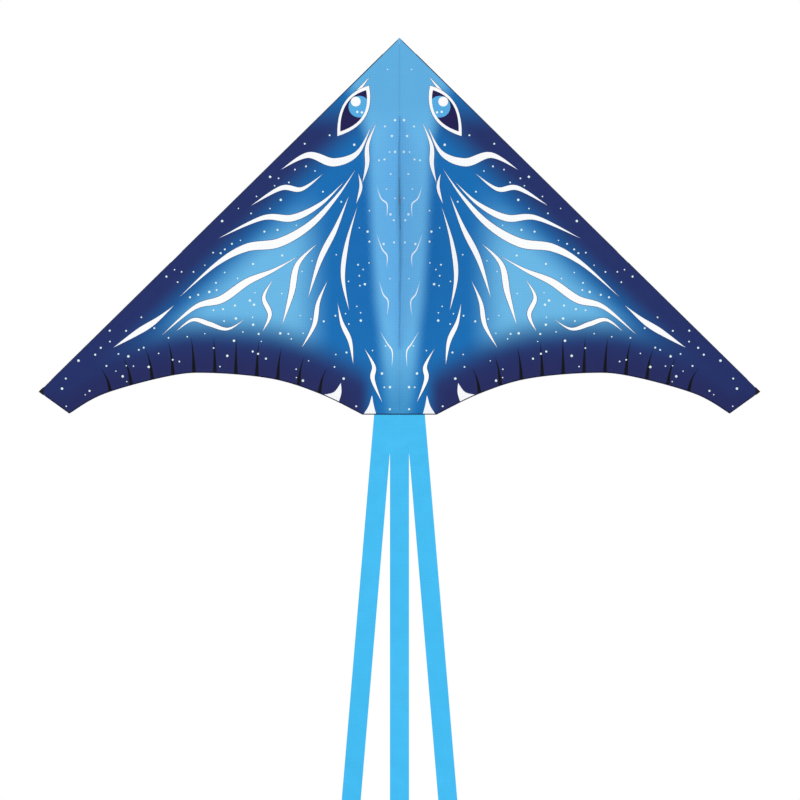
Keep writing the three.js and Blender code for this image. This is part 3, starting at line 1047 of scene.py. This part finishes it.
def shifted(line: Sequence[Point], distance: float) -> list[Point]:
    """A line moved to its right-hand side, seen with d growing downwards."""
    table = np.array(line, float)
    steps = np.diff(table, axis=0)
    steps /= np.linalg.norm(steps, axis=1)[:, None]
    into = np.concatenate([steps[:1], steps])
    out = np.concatenate([steps, steps[-1:]])
    along = into + out
    along /= np.linalg.norm(along, axis=1)[:, None]
    normal = np.stack([-along[:, 1], along[:, 0]], axis=1)
    mitre = np.sum(along * out, axis=1)[:, None]
    return [tuple(p) for p in table + normal / mitre * distance]


def even_steps(line: Sequence[Point], longest: float) -> list[Point]:
    """A line with points added where its steps are longer than a length."""
    made = []
    for a, b in zip(line, line[1:]):
        count = max(1, math.ceil(math.dist(a, b) / longest))
        step = ((b[0] - a[0]) / count, (b[1] - a[1]) / count)
        made += [(a[0] + step[0] * k, a[1] + step[1] * k) for k in range(count)]
    return [*made, line[-1]]


@dataclass(frozen=True)
class EdgeTape:
    """A tape folded round a cloth's edge.

    Attributes:
        front: how far it reaches in on the front.
        back: how far it reaches in on the back.
        gap: how far the tape's middle stands from the cloth's middle.
        half: half the tape's thickness.
        longest: the longest step along the tape.
    """

    front: float
    back: float
    gap: float
    half: float = 0.14
    longest: float = 3.0

    def build(self, name: str, line: Sequence[Point], lie: Lie, finish: Finish) -> bpy.types.Object:
        """Folds the tape round an edge whose cloth lies on the line's right-hand side."""
        near, far, gap = self.front, self.back, self.gap
        section = [(near, -gap), (near * 0.5, -gap), (0.1, -gap), (-0.35, 0.0)]
        section += [(0.1, gap), (far * 0.5, gap), (far, gap)]
        ring = thickened(np.array(section), self.half)
        line = even_steps(line, self.longest)
        moved = [shifted(line, inside) for inside, _ in ring]
        rings = [
            [Vector(lie(*moved[j][i], back)) for j, (_, back) in enumerate(ring)]
            for i in range(len(line))
        ]
        tape = loft(name, rings)
        finish.dress(tape)
        return tape


@dataclass
class Stitching:
    """Rows of lock stitches gathered into one piece.

    Attributes:
        length: a stitch's length.
        pitch: the distance from one stitch to the next.
        width: the thread's width.
    """

    length: float = 2.6
    pitch: float = 3.6
    width: float = 0.55
    points: list[Place] = field(default_factory=list)
    faces: list[Triangle] = field(default_factory=list)

    def sew(self, line: Sequence[Point], lie: Lie, front: float, back: float) -> None:
        """Adds a row of stitches along a line.

        Args:
            line: flat places that the row follows.
            lie: turns a flat place and a distance behind the cloth into the frame's metres.
            front: how far the thread stands on the front side, as a negative distance.
            back: how far it stands on the back side.
        """
        table = np.array(line, float)
        steps = np.linalg.norm(np.diff(table, axis=0), axis=1)
        runs = np.concatenate([[0], np.cumsum(steps)])
        for start in np.arange(self.pitch / 2, runs[-1] - self.length, self.pitch):
            a, b = (
                np.array([np.interp(run, runs, table[:, k]) for k in (0, 1)])
                for run in (start, start + self.length)
            )
            aside = np.array([-(b - a)[1], (b - a)[0]]) / self.length * self.width / 2
            middle = (a + b) / 2
            base = len(self.points)
            flat = [(place, 0) for place in (a, b, middle + aside, middle - aside)]
            for place, away in (*flat, (middle, front), (middle, back)):
                self.points.append(lie(*place, away))
            ring = (base, base + 2, base + 1, base + 3)
            for i in range(4):
                first, second = ring[i], ring[(i + 1) % 4]
                self.faces += [(first, second, base + 5), (second, first, base + 4)]

    def build(self, name: str, finish: Finish) -> bpy.types.Object:
        """Makes the piece."""
        piece = make_object(name, self.points, self.faces)
        face_outwards(piece)
        finish.dress(piece)
        return piece


@dataclass(frozen=True)
class Tunnel:
    """A strip of cloth sewn down on both sides of a rod, so that it arches over it.

    Attributes:
        first: the plan point at which the rod's line starts.
        along: the unit plan direction of the rod's line.
        side: +1 or -1, the side of the kite that it lies on.
        start: where it begins along the line.
        end: where it ends.
        arch: the tunnel's half width.
        height: how far the rod's middle lies behind the sail's flat plane.
        left: the strip's reach on the side of the leading edge, at its start and its end.
        right: its reach on the other side, at its start and its end.
        wrap: how far the strip turns round the sail's edge onto its front, or 0.
        closed_start: whether its beginning is sewn shut over the rod's end.
        closed_end: whether its end is.
        cloth: the strip's thickness.
        base: how far its sewn-down middle stands behind the sail's surface.
    """

    first: Point
    along: Point
    side: int
    start: float
    end: float
    arch: float
    height: float
    left: Point
    right: Point
    wrap: float = 0.0
    closed_start: bool = False
    closed_end: bool = False
    cloth: float = 0.35
    base: float = 0.4

    def openness(self, run: float) -> float:
        """How far the arch stands open at a distance along the line, from about 0 to 1."""
        share = 1.0
        if self.closed_start:
            share *= float(step_up(np.array(run - self.start), -3, 9))
        if self.closed_end:
            share *= float(step_up(np.array(self.end - run), -3, 9))
        return max(share, 0.08)

    def strip(self, run: float) -> list[Point]:
        """The strip's middle line in section: places across the rod's line and behind the sail."""
        opened = self.openness(run)
        soft = 0.22 * noise.noise(Vector((run * 0.05, self.side, 5.0)))
        radius = self.arch + (0.16 * math.sin(run * 1.74) * opened + soft) * 0.6
        top = (self.height - self.base) * opened
        left, right = (
            max(float(np.interp(run, (self.start, self.end), reach)), radius + 0.6)
            for reach in (self.left, self.right)
        )
        wave = 0.12 * math.sin(run * 1.74 + 1.0)
        path: list[Point] = []
        if self.wrap:
            path += [(-left + self.wrap, -self.base), (-left + 0.3, -self.base), (-left, 0.0)]
            path += [(-left + 0.15, self.base + 0.4)]
        else:
            path += [(-left, self.base), (-(left + radius) / 2, self.base + abs(wave))]
            path += [(-radius - 0.5, self.base)]
        path += [(-radius, self.base + top * 0.45)]
        for k in range(11):
            turn = math.pi * (1 - k / 10)
            rise = radius * opened * math.sin(turn)
            path.append((radius * math.cos(turn), self.base + top + rise))
        path += [(radius, self.base + top * 0.45), (radius + 0.5, self.base)]
        path += [((right + radius) / 2, self.base + abs(wave)), (right, self.base + wave * 0.5)]
        return path

    def rings(self, plan: Plan) -> list[list[Vector]]:
        """The strip's outlines, one every few millimetres."""
        count = max(4, round((self.end - self.start) / 3.2))
        made = []
        for run in np.linspace(self.start, self.end, count + 1):
            ring = thickened(np.array(self.strip(float(run))), self.cloth / 2)
            made.append([self.lie(plan, float(run), u, v) for u, v in ring])
        return made

    def lie(self, plan: Plan, run: float, across: float, back: float) -> Vector:
        """A section place in the frame's metres; the strip's edges follow the sail's surface."""
        x = self.first[0] + self.along[0] * run - self.along[1] * across
        d = self.first[1] + self.along[1] * run + self.along[0] * across
        surface = plan.lift(abs(x), d) if abs(across) > self.arch + 0.5 else 0.0
        y = plan.sail_y + (surface + back) * MM
        return Vector((self.side * x * MM, y, plan.nose_z - d * MM))


# ---------------------------------------------------------------------------------------------
# The kite's sub-assemblies
# ---------------------------------------------------------------------------------------------


def cad_middle(node: str) -> Vector:
    """The middle of a CAD node's box."""
    low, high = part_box(node)
    return (low + high) / 2


def settle(piece: bpy.types.Object, node: str, body: str, finish: Finish) -> None:
    """Dresses a piece that takes over from one CAD node, and places it on its body."""
    finish.dress(piece)
    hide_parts(node)
    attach(piece, body)


@dataclass
class Sail:
    """The two printed halves of the sail with their edge bindings and stitching."""

    plan: Plan
    cloth: float = 0.3
    binding_width: float = 9.0
    binding_wrap: float = 1.5
    sleeve_seam: float = 13.2
    paler: float = 0.1
    thread_front: float = -0.42

    def build(self) -> None:
        """Makes both halves, bound and stitched."""
        printed = SkyPrint(self.plan)
        layout = printed.lay_out()
        for name, side in SIDES:
            half = self._half(name, side, printed, layout)
            binding = self._binding(name, side)
            stitches = self._stitches(name, side)
            start, end = self.plan.crease_span(side, CREASE_HALF_WIDTH)
            for piece in (half, binding, stitches):
                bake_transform(piece)
                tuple(start)
                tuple(end)
            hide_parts(f"sail_inner_{name}", f"sail_wing_{name}")
            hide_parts(f"binding_inner_{name}", f"binding_wing_{name}")
            self.flat_area()
            LOG.info("sail %s: %d faces", name, len(half.data.polygons))

    def flat_area(self) -> float:
        """One half's area in square metres."""
        return abs(signed_area(self.plan.outline())) * MM * MM

    def lie(self, side: int) -> Lie:
        """The surface of one half, for its mirrored plan."""
        return lambda x, d, back: self.plan.place(side * x, d, back)

    def _half(
        self,
        name: str,
        side: int,
        printed: SkyPrint,
        layout: tuple[list[Point], list[Triangle], list[Ink | None]],
    ) -> bpy.types.Object:
        """One half of the sail with its print colours."""
        places, triangles, inks = layout
        plan_places = [(side * x, d) for x, d in places]
        turned = triangles if side > 0 else [t[::-1] for t in triangles]
        half = Cloth(plan_places, turned, self.plan.place, self.cloth).build(f"sail_{name}")
        table = np.array(plan_places)
        ground = printed.ground(table[:, 0], table[:, 1])
        flat = {ink: np.array(linear(ink.value)) for ink in Ink}
        front = np.array(
            [ground[list(t)] if ink is None else [flat[ink]] * 3 for t, ink in zip(turned, inks)]
        )
        back = front[:, ::-1] * (1 - self.paler) + np.array(linear("b9c6d6")) * self.paler
        rim = np.broadcast_to(flat[Ink.EDGE], (4 * len(rim_of(turned)), 3))
        corners = np.concatenate([front.reshape(-1, 3), back.reshape(-1, 3), rim])
        layer = half.data.color_attributes.new("print", "FLOAT_COLOR", "CORNER")
        opaque = np.c_[corners, np.ones(len(corners))]
        layer.data.foreach_set("color", opaque.astype(np.float32).ravel())
        Finish.SAIL.dress(half)
        return half

    def _free_edge(self) -> list[Point]:
        """The bound edge: round the wing's foot and along the trailing curve."""
        tip, foot = np.array(self.plan.tip), np.array(self.plan.tip_foot)
        start = tip + (foot - tip) / np.linalg.norm(foot - tip) * 13
        leg = [tuple(start + (foot - start) * s) for s in np.linspace(0, 1, 9)[:-1]]
        base = [(x, self.plan.centre_drop) for x in (58, 44, 30, 16, 0.3)]
        return [*leg, *self.plan.trailing_curve(), *base]

    def _binding(self, name: str, side: int) -> bpy.types.Object:
        """The tape folded round the free edge."""
        tape = EdgeTape(self.binding_wrap, self.binding_width, self.cloth / 2 + 0.18)
        return tape.build(f"binding_{name}", self._free_edge(), self.lie(side), Finish.BINDING)

    def _stitches(self, name: str, side: int) -> bpy.types.Object:
        """The rows of stitching that hold the sleeve, the binding and the centre seam."""
        sewing, plan, lie = Stitching(), self.plan, self.lie(side)
        runs = np.linspace(60, plan.edge_length - 26, 90)
        hem = shifted(self._free_edge()[4:], 6.6)
        rows = (
            ([plan.on_edge(run, self.sleeve_seam) for run in runs], 0.95),
            ([p for p in hem if p[0] > 3 and plan.inside_edge(*p) > 18], 0.8),
            ([(2.2, d) for d in np.linspace(26, plan.centre_drop - 14, 60)], 0.3),
            ([(6.3, d) for d in np.linspace(70, 692, 60)], 0.95),
        )
        for row, back in rows:
            sewing.sew(row, lie, self.thread_front, back)
        return sewing.build(f"stitching_{name}", Finish.SAIL_THREAD)


@dataclass(frozen=True)
class RodSize:
    """A rod's radius, with the length and the wall of the caps that fit it."""

    radius: float
    cap_length: float
    cap_wall: float


@dataclass
class Rods:
    """The spine, the leading-edge rods and the spreader, each with a cap at both ends.

    Attributes:
        main: the size of the spine and of the leading-edge rods.
        spreader: the size of the spreader.
        chamfer: the bevel at a rod's ends.
        inset: how far inside its cap's outer end a rod begins.
        bore_floor: how far inside that end the cap's bore stops.
    """

    main: RodSize = RodSize(2.0, 12.0, 0.8)
    spreader: RodSize = RodSize(2.5, 16.0, 0.7)
    chamfer: float = 0.3
    inset: float = 2.3
    bore_floor: float = 2.0

    def build(self) -> None:
        """Makes every rod with its caps."""
        self._rod("spine_rod", "centre", ("spine_cap_top", "spine_cap_bottom"), self.main)
        for name, _ in SIDES:
            caps = (f"edge_cap_top_{name}", f"edge_cap_bottom_{name}")
            self._rod(f"edge_rod_{name}", f"wing_{name}", caps, self.main)
        caps = ("spreader_cap_left", "spreader_cap_right")
        self._rod("spreader_rod", "spreader", caps, self.spreader)

    def _rod(self, node: str, body: str, caps: tuple[str, str], size: RodSize) -> None:
        """A rod between its two caps; the caps' middles give its line."""
        ends = [cad_middle(cap) for cap in caps]
        axis = (ends[1] - ends[0]).normalized()
        inset = size.cap_length / 2 - self.inset
        start, finish = ends[0] - axis * inset * MM, ends[1] + axis * inset * MM
        length = (finish - start).length / MM
        radius, bevel = size.radius, self.chamfer
        first = [(0, 0), (radius - bevel, 0), (radius, bevel)]
        last = [(radius, length - bevel), (radius - bevel, length), (0, length)]
        settle(lathe(f"{node}_fine", first + last, start, axis), node, body, Finish.ROD)
        for cap, middle, way in zip(caps, ends, (axis, -axis)):
            self._cap(cap, middle, way, size, body)

    def _cap(self, node: str, middle: Vector, way: Vector, size: RodSize, body: str) -> None:
        """A dipped vinyl cap: a domed end, a soft bead at the mouth and a blind bore."""
        outer, inner, length = size.radius + size.cap_wall, size.radius + 0.15, size.cap_length
        turns = np.linspace(0, math.pi / 2, 8)
        profile = [(outer * math.sin(a), 1.6 * (1 - math.cos(a))) for a in turns]
        profile += [(outer * 0.97, length * 0.45), (outer * 0.97, length - 1.6)]
        profile += [(outer, length - 1.2), (outer * 1.02, length - 0.6)]
        profile += [(outer * 0.97, length - 0.1), (inner + 0.25, length), (inner, length - 0.2)]
        profile += [(inner, self.bore_floor), (0, self.bore_floor)]
        cap = lathe(f"{node}_fine", profile, middle - way * length / 2 * MM, way, 28)
        settle(cap, node, body, Finish.VINYL)


@dataclass
class Sleeves:
    """The cloth tunnels that hold the rods, and the pockets at the spine's ends."""

    plan: Plan
    rod_back: float = 4.4
    edge_inset: float = 3.8
    window: float = 15.0
    flange: Point = (8.0, 8.0)

    def build(self) -> None:
        """Makes the spine's sleeve and pockets and each wing's two sleeve lengths."""
        line = ((0, 0), (0, 1), 1)
        start, end = self._drops("spine_sleeve")
        spine = Tunnel(*line, start, end, 3.0, self.rod_back, self.flange, self.flange)
        self._tunnel("spine_sleeve", spine, "centre", Finish.SLEEVE)
        for node, reach in (("nose_pocket", (3.5, 23.5)), ("tail_pocket", (20.0, 14.0))):
            start, end = self._drops(node)
            pocket = Tunnel(
                *line, start, end, 3.5, self.rod_back, reach, reach, cloth=0.55, base=0.5,
                closed_start=node == "nose_pocket", closed_end=node == "tail_pocket",
            )
            self._tunnel(node, pocket, "centre", Finish.WEBBING)
        edge = (math.sin(self.plan.edge_angle), math.cos(self.plan.edge_angle))
        foot = self.plan.on_edge(0, self.edge_inset)
        outside, inside = (self.edge_inset + 0.35,) * 2, (11.4, 11.4)
        middle, last = 0.62 * self.plan.edge_length, self.plan.edge_length - 33
        lengths = {"upper": (46.0, middle - self.window), "lower": (middle + self.window, last)}
        for name, side in SIDES:
            for part, (start, end) in lengths.items():
                sleeve = Tunnel(
                    foot, edge, side, start, end, 2.9, self.rod_back, outside, inside, wrap=1.7
                )
                self._tunnel(f"edge_sleeve_{part}_{name}", sleeve, f"wing_{name}", Finish.SLEEVE)

    def _drops(self, node: str) -> tuple[float, float]:
        """A CAD node's top and bottom as drops below the nose."""
        low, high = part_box(node)
        return (self.plan.nose_z - high.z) / MM, (self.plan.nose_z - low.z) / MM

    def _tunnel(self, node: str, tunnel: Tunnel, body: str, finish: Finish) -> None:
        """Lofts a tunnel, dresses it and places it on its body."""
        settle(loft(f"{node}_cloth", tunnel.rings(self.plan)), node, body, finish)


def ringed(
    outline: Sequence[Point], centre: Point, hole: float, count: int
) -> tuple[list[Point], list[Triangle]]:
    """Triangles of a flat shape round a hole, in rings that open out from the hole.

    Args:
        outline: the shape's outline; every point is in sight of the centre.
        centre: the hole's middle.
        hole: its radius.
        count: how many rings to make.

    Returns:
        The flat places and the triangles.
    """
    outer = np.array(outline, float)
    away = outer - centre
    inner = np.array(centre) + away / np.linalg.norm(away, axis=1)[:, None] * hole
    rows = [inner + (outer - inner) * share**1.4 for share in np.linspace(0, 1, count)]
    size = len(outer)
    shared = [row * size + column % size for row in range(count) for column in range(size + 1)]
    triangles = [tuple(shared[i] for i in t) for t in grid_triangles(count, size + 1)]
    return [tuple(p) for row in rows for p in row], triangles


@dataclass
class Keel:
    """The keel's panel in front of the spine, its hems, its two patches and the tow eyelet."""

    plan: Plan
    depth: float = 150.0
    tow_drop: float = 330.0
    corner: float = 16.0
    root: float = 1.0
    ends: tuple[float, float] = (150.0, 610.0)
    patch_reach: float = 62.0
    patch_lift: float = 0.8
    hole: float = 5.0

    def build(self) -> None:
        """Makes the keel and its metal eyelet."""
        ends = [(self.root, end) for end in self.ends]
        outline = self._round_tow(*ends, self.corner, 5.0)
        panel = self._cut("keel_cloth", outline, 26, 0.0, Finish.KEEL)
        hem = [p for p in outline if p[0] > self.root + 3]
        folded = EdgeTape(6.0, 6.0, 0.42, 0.13).build("keel_hem", hem, self.lie, Finish.KEEL)
        tow = np.array((self.depth, self.tow_drop))
        corners = [
            tow + (np.array(end) - tow) * self.patch_reach / math.dist(end, tow) for end in ends
        ]
        patch_outline = self._round_tow(*corners, self.corner - 1, 3.0)
        patches = []
        for name, side in SIDES:
            lift = side * self.patch_lift
            patch = self._cut(f"keel_patch_{name}_fine", patch_outline, 9, lift, Finish.WEBBING)
            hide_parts(f"keel_patch_{name}")
            patches.append(patch)
        sewing = Stitching(pitch=3.4)
        seam = [(self.root + 2.4, d) for d in np.linspace(158, 602, 50)]
        loop = shifted([*patch_outline, patch_outline[0]], 3.0)
        for row, out in ((shifted(hem, 4.6), 0.85), (seam, 0.6), (loop, 1.45)):
            sewing.sew(row, self.lie, -out, out)
        stitches = sewing.build("keel_stitching", Finish.KEEL_THREAD)
        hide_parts("keel_panel")
        start = Vector((0.0, self.plan.sail_y, self.plan.nose_z - self.tow_drop * MM))
        for piece in (panel, folded, stitches, *patches):
            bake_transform(piece)
        (self.depth + self.corner) * MM
        (self.ends[1] - self.ends[0]) * MM
        abs(signed_area(outline)) * MM * MM
        self._eyelet()

    def lie(self, depth: float, drop: float, across: float) -> Place:
        """The frame's metres for a place on the keel; it bellies gently to one side."""
        low, high = self.ends
        share = min(max((drop - low) / (high - low), 0), 1)
        from_tow = min(math.dist((depth, drop), (self.depth, self.tow_drop)) / 90, 1)
        hold = math.sin(math.pi * min(depth / 45, 1) / 2) * from_tow
        hold = hold * math.sin(math.pi * share) ** 0.5
        wave = 1.3 * math.sin(drop / 61 + depth / 90)
        wave += 1.2 * noise.noise(Vector((depth / 46, drop / 70, 2.0)))
        x = (across + wave * hold) * MM
        return (x, self.plan.sail_y - depth * MM, self.plan.nose_z - drop * MM)

    def _round_tow(self, upper: Point, lower: Point, corner: float, step: float) -> list[Point]:
        """The outline from an upper point round the tow corner to a lower point and back."""
        tow = np.array((self.depth, self.tow_drop))
        touch = []
        for point, way in ((upper, 1), (lower, -1)):
            away = np.array(point) - tow
            lean = math.acos(corner / np.linalg.norm(away))
            touch.append(math.atan2(away[1], away[0]) + way * lean)
        turns = np.linspace(touch[0], touch[0] + (touch[1] - touch[0]) % (2 * math.pi), 25)
        arc = [tow + corner * np.array((math.cos(a), math.sin(a))) for a in turns]
        legs = [np.array(upper), *arc, np.array(lower), np.array(upper)]
        outline = []
        for a, b in zip(legs, legs[1:]):
            count = max(1, round(math.dist(a, b) / step))
            outline += [tuple(a + (b - a) * k / count) for k in range(count)]
        return outline

    def _cut(
        self, name: str, outline: list[Point], rings: int, lift: float, finish: Finish
    ) -> bpy.types.Object:
        """A cloth with the eyelet's hole in it, lifted to one side of the keel's middle."""
        places, triangles = ringed(outline, (self.depth, self.tow_drop), self.hole, rings)

        def lie(depth: float, drop: float, across: float) -> Place:
            return self.lie(depth, drop, lift + across)

        piece = Cloth(places, triangles, lie, 0.36).build(name)
        face_outwards(piece)
        finish.dress(piece)
        return piece

    def _eyelet(self) -> None:
        """The two-part metal eyelet with rolled lips."""
        turns = np.linspace(0, math.pi / 2, 7)
        lip = [(self.hole - 0.8 * math.cos(a), 1.2 + 0.8 * math.sin(a)) for a in turns]
        flange = [(6.2, 1.96), (7.1, 1.7), (7.55, 1.38), (7.45, 1.12), (7.1, 1.03), (5.0, 1.03)]
        half = [(round(r, 4), round(z, 4)) for r, z in lip + flange]
        profile = [*half, *[(r, -z) for r, z in reversed(half)], half[0]]
        z = self.plan.nose_z - self.tow_drop * MM
        start = Vector((0.0, self.plan.sail_y - self.depth * MM, z))
        eyelet = lathe("tow_eyelet", profile, start, Vector((1, 0, 0)), 56)
        settle(eyelet, "keel_eyelet", "keel", Finish.NICKEL)


@dataclass
class Tails:
    """The header sewn behind the sail's middle, and the three ribbons cut from it."""

    plan: Plan
    overlap: float = 10.0
    header_bottom: float = 808.6
    half_top: float = 48.5
    half_bottom: float = 55.8
    foot: float = 1732.0
    ribbon_width: float = 37.0
    pitch: float = 37.3
    splay: float = math.radians(4.8)
    cloth: float = 0.3

    def build(self) -> None:
        """Makes the header and the ribbons."""
        header = self._header()
        sewing = Stitching()
        for d in (self.plan.centre_drop - 3, self.plan.centre_drop - 8):
            sewing.sew([(x, d) for x in np.linspace(-46, 46, 12)], self.header_lie, -1.4, 0.45)
        stitches = sewing.build("header_stitching", Finish.SAIL_THREAD)
        hem = self.plan.nose_z - (self.plan.centre_drop + 0.6) * MM
        fold = Vector((0.0, self.plan.sail_y, hem))
        above, below = fold + Vector((0, 0, 0.004)), fold - Vector((0, 0, 0.008))
        for piece in (header, stitches):
            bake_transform(piece)
            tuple(above)
            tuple(below)
        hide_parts("tail_header")
        top = self.plan.centre_drop - self.overlap
        size = (2 * self.half_bottom * MM, (self.header_bottom - top) * MM)
        area = (self.half_top + self.half_bottom) * (self.header_bottom - top) * MM * MM
        for name, place in (("left", -1), ("centre", 0), ("right", 1)):
            self._ribbon(name, place)

    def header_lie(self, x: float, d: float, back: float) -> Place:
        """The header's surface: behind the sail's hem at the top, then hanging in its plane."""
        hem = self.plan.centre_drop
        below = float(step_up(np.array(d), hem + 1, hem + 45))
        behind = (self.plan.lift(x, min(d, hem)) + 0.95) * (1 - below)
        soft = 1.5 * noise.noise(Vector((x / 34, d / 40, 4.0))) * below
        y = self.plan.sail_y + (behind + soft + back) * MM
        return (x * MM, y, self.plan.nose_z - d * MM)

    def _header(self) -> bpy.types.Object:
        """The header's cloth."""
        top = self.plan.centre_drop - self.overlap
        rows, columns = 26, 25
        places = []
        for d in np.linspace(top, self.header_bottom, rows):
            half = np.interp(d, [top, self.header_bottom], [self.half_top, self.half_bottom])
            places += [(float(x), float(d)) for x in np.linspace(-half, half, columns)]
        cloth = Cloth(places, grid_triangles(rows, columns), self.header_lie, self.cloth)
        header = cloth.build("header_cloth")
        Finish.RIBBON.dress(header)
        return header

    def _ribbon(self, name: str, place: int) -> None:
        """One ribbon, from the header down to its square-cut end."""
        top, length = self.header_bottom, self.foot - self.header_bottom
        phase = 1.3 * place + 0.6

        def lie(x: float, d: float, back: float) -> Place:
            run = (d - top) / length
            swing = 9.0 * math.sin(5.2 * run + phase) * run**0.7
            swing += 2.2 * math.sin(17 * run + 2 * phase) * min(run * 5, 1)
            twist = x * 0.24 * math.sin(4.1 * run + 1.7 * phase) * min(run * 3, 1)
            spot = Vector(((place * self.pitch + x) / 34, top / 40, 4.0))
            start = 1.5 * noise.noise(spot) * max(1 - run * 12, 0)
            along = place * (self.pitch + math.tan(self.splay) * (d - top))
            y = self.plan.sail_y + (swing + twist + start + back) * MM
            return ((along + x) * MM, y, self.plan.nose_z - d * MM)

        rows, columns = 150, 9
        half = self.ribbon_width / 2
        across = [float(x) for x in np.linspace(-half, half, columns)]
        places = [(x, float(d)) for d in np.linspace(top, self.foot, rows) for x in across]
        cloth = Cloth(places, grid_triangles(rows, columns), lie, self.cloth)
        ribbon = cloth.build(f"ribbon_cloth_{name}")
        Finish.RIBBON.dress(ribbon)
        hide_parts(f"ribbon_{name}")
        fold = Vector((0.0, self.plan.sail_y, self.plan.nose_z - top * MM))
        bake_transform(ribbon)
        size = (self.ribbon_width * MM, length * MM)
        size[0] * size[1]


@dataclass
class Fittings:
    """Moulded parts that keep the frame's shapes, with softened edges."""

    nodes: dict[str, bpy.types.Object]
    weld: float = 1e-5
    flat_angle: float = math.radians(1)

    def build(self) -> None:
        """Makes the spreader's clips and the caps on the wings' corners."""
        for name, _ in SIDES:
            self._softened(f"spreader_clip_{name}", f"wing_{name}", 0.55)
            self._softened(f"tip_cap_{name}", f"wing_{name}", 0.4)

    def _softened(self, node: str, body: str, width: float) -> None:
        """A copy of a frame part with rounded edges."""
        source = self.nodes[node]
        mesh = source.data.copy()
        mesh.transform(source.matrix_world)
        piece = bpy.data.objects.new(f"{node}_fine", mesh)
        bpy.context.scene.collection.objects.link(piece)
        with editing(mesh) as work:
            bmesh.ops.remove_doubles(work, verts=work.verts, dist=self.weld)
            bmesh.ops.dissolve_limit(
                work, angle_limit=self.flat_angle, verts=work.verts, edges=work.edges
            )
        rounded(piece, width)
        settle(piece, node, body, Finish.VINYL)


@dataclass
class Stage:
    """The floor, the light and the camera round the kite."""

    floor_z: float = -1.43
    view_width: float = 1.5545
    lens: float = 100.0
    middle: tuple[float, float] = (0.001, -0.374)
    surround: float = 0.56
    sail_y: float = 0.15
    floor_radius: float = 1.2
    sensor: float = 36.0

    def build(self) -> None:
        """Sets the stage."""
        self._floor()
        self._world()
        self._light("key", (0.0, -4.4, 0.0), 0.45, 76.0)
        self._light("side", (-2.6, -3.2, 2.2), 2.4, 20.0)
        self._light("back", (0.8, 4.0, 1.6), 2.4, 110.0)
        self._camera()

    def _floor(self) -> None:
        """A pale round floor below the tails."""
        rim = [(x, y, self.floor_z) for x, y in circle((0.0, 0.0), self.floor_radius, 95)]
        floor = make_object("floor", rim, [tuple(range(len(rim)))])
        graph = Graph("stage_floor")
        place = graph.node("ShaderNodeTexCoord").part("Object")
        pale = graph.blend(graph.noise(place, 3.0) * 0.3, linear("eeeeef"), linear("e6e6e8"))
        graph.set(Base_Color=pale, Roughness=0.8)
        floor.data.materials.append(graph.material)

    def _world(self) -> None:
        """A white surround that lights the kite a little less than it shows."""
        world = bpy.data.worlds.new("surround")
        world.use_nodes = True
        bpy.context.scene.world = world
        nodes, links = world.node_tree.nodes, world.node_tree.links
        shown, lighting = nodes["Background"], nodes.new("ShaderNodeBackground")
        for background, strength in ((shown, 1.0), (lighting, self.surround)):
            background.inputs["Color"].default_value = (1.0, 1.0, 1.0, 1.0)
            background.inputs["Strength"].default_value = strength
        seen = nodes.new("ShaderNodeLightPath")
        pick = nodes.new("ShaderNodeMixShader")
        links.new(seen.outputs["Is Camera Ray"], pick.inputs[0])
        links.new(lighting.outputs[0], pick.inputs[1])
        links.new(shown.outputs[0], pick.inputs[2])
        links.new(pick.outputs[0], nodes["World Output"].inputs["Surface"])

    def _light(self, name: str, place: Place, size: float, watts: float) -> None:
        """A large soft lamp aimed at the kite's middle."""
        lamp = bpy.data.lights.new(name, "AREA")
        lamp.size, lamp.energy = size, watts
        thing = bpy.data.objects.new(name, lamp)
        thing.location = place
        aim = Vector((0, self.sail_y, -0.2)) - Vector(place)
        thing.rotation_euler = aim.to_track_quat("-Z", "Y").to_euler()
        bpy.context.scene.collection.objects.link(thing)

    def _camera(self) -> None:
        """The camera straight in front of the sail."""
        data = bpy.data.cameras.new("front")
        data.lens, data.sensor_width = self.lens, self.sensor
        camera = bpy.data.objects.new("front", data)
        away = self.view_width * self.lens / self.sensor
        camera.location = (self.middle[0], self.sail_y - away, self.middle[1])
        camera.rotation_euler = (math.pi / 2, 0.0, 0.0)
        bpy.context.scene.collection.objects.link(camera)
        bpy.context.scene.camera = camera
        bpy.context.scene.view_settings.view_transform = "Standard"


def main() -> None:
    """Builds the kite on the frame and sets the stage."""
    logging.basicConfig(level=logging.INFO, format="%(name)s: %(message)s")
    plan = Plan.from_frame()
    LOG.info("plan: half span %.1f mm, drop %.1f mm", plan.half_span, plan.centre_drop)
    assemblies = [Sail(plan), Rods(), Sleeves(plan), Keel(plan), Tails(plan)]
    assemblies += [Fittings(frame["nodes"]), Stage()]
    for assembly in assemblies:
        assembly.build()
        LOG.info("%s done", type(assembly).__name__.lower())
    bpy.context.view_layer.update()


if __name__ == "__main__":
    main()
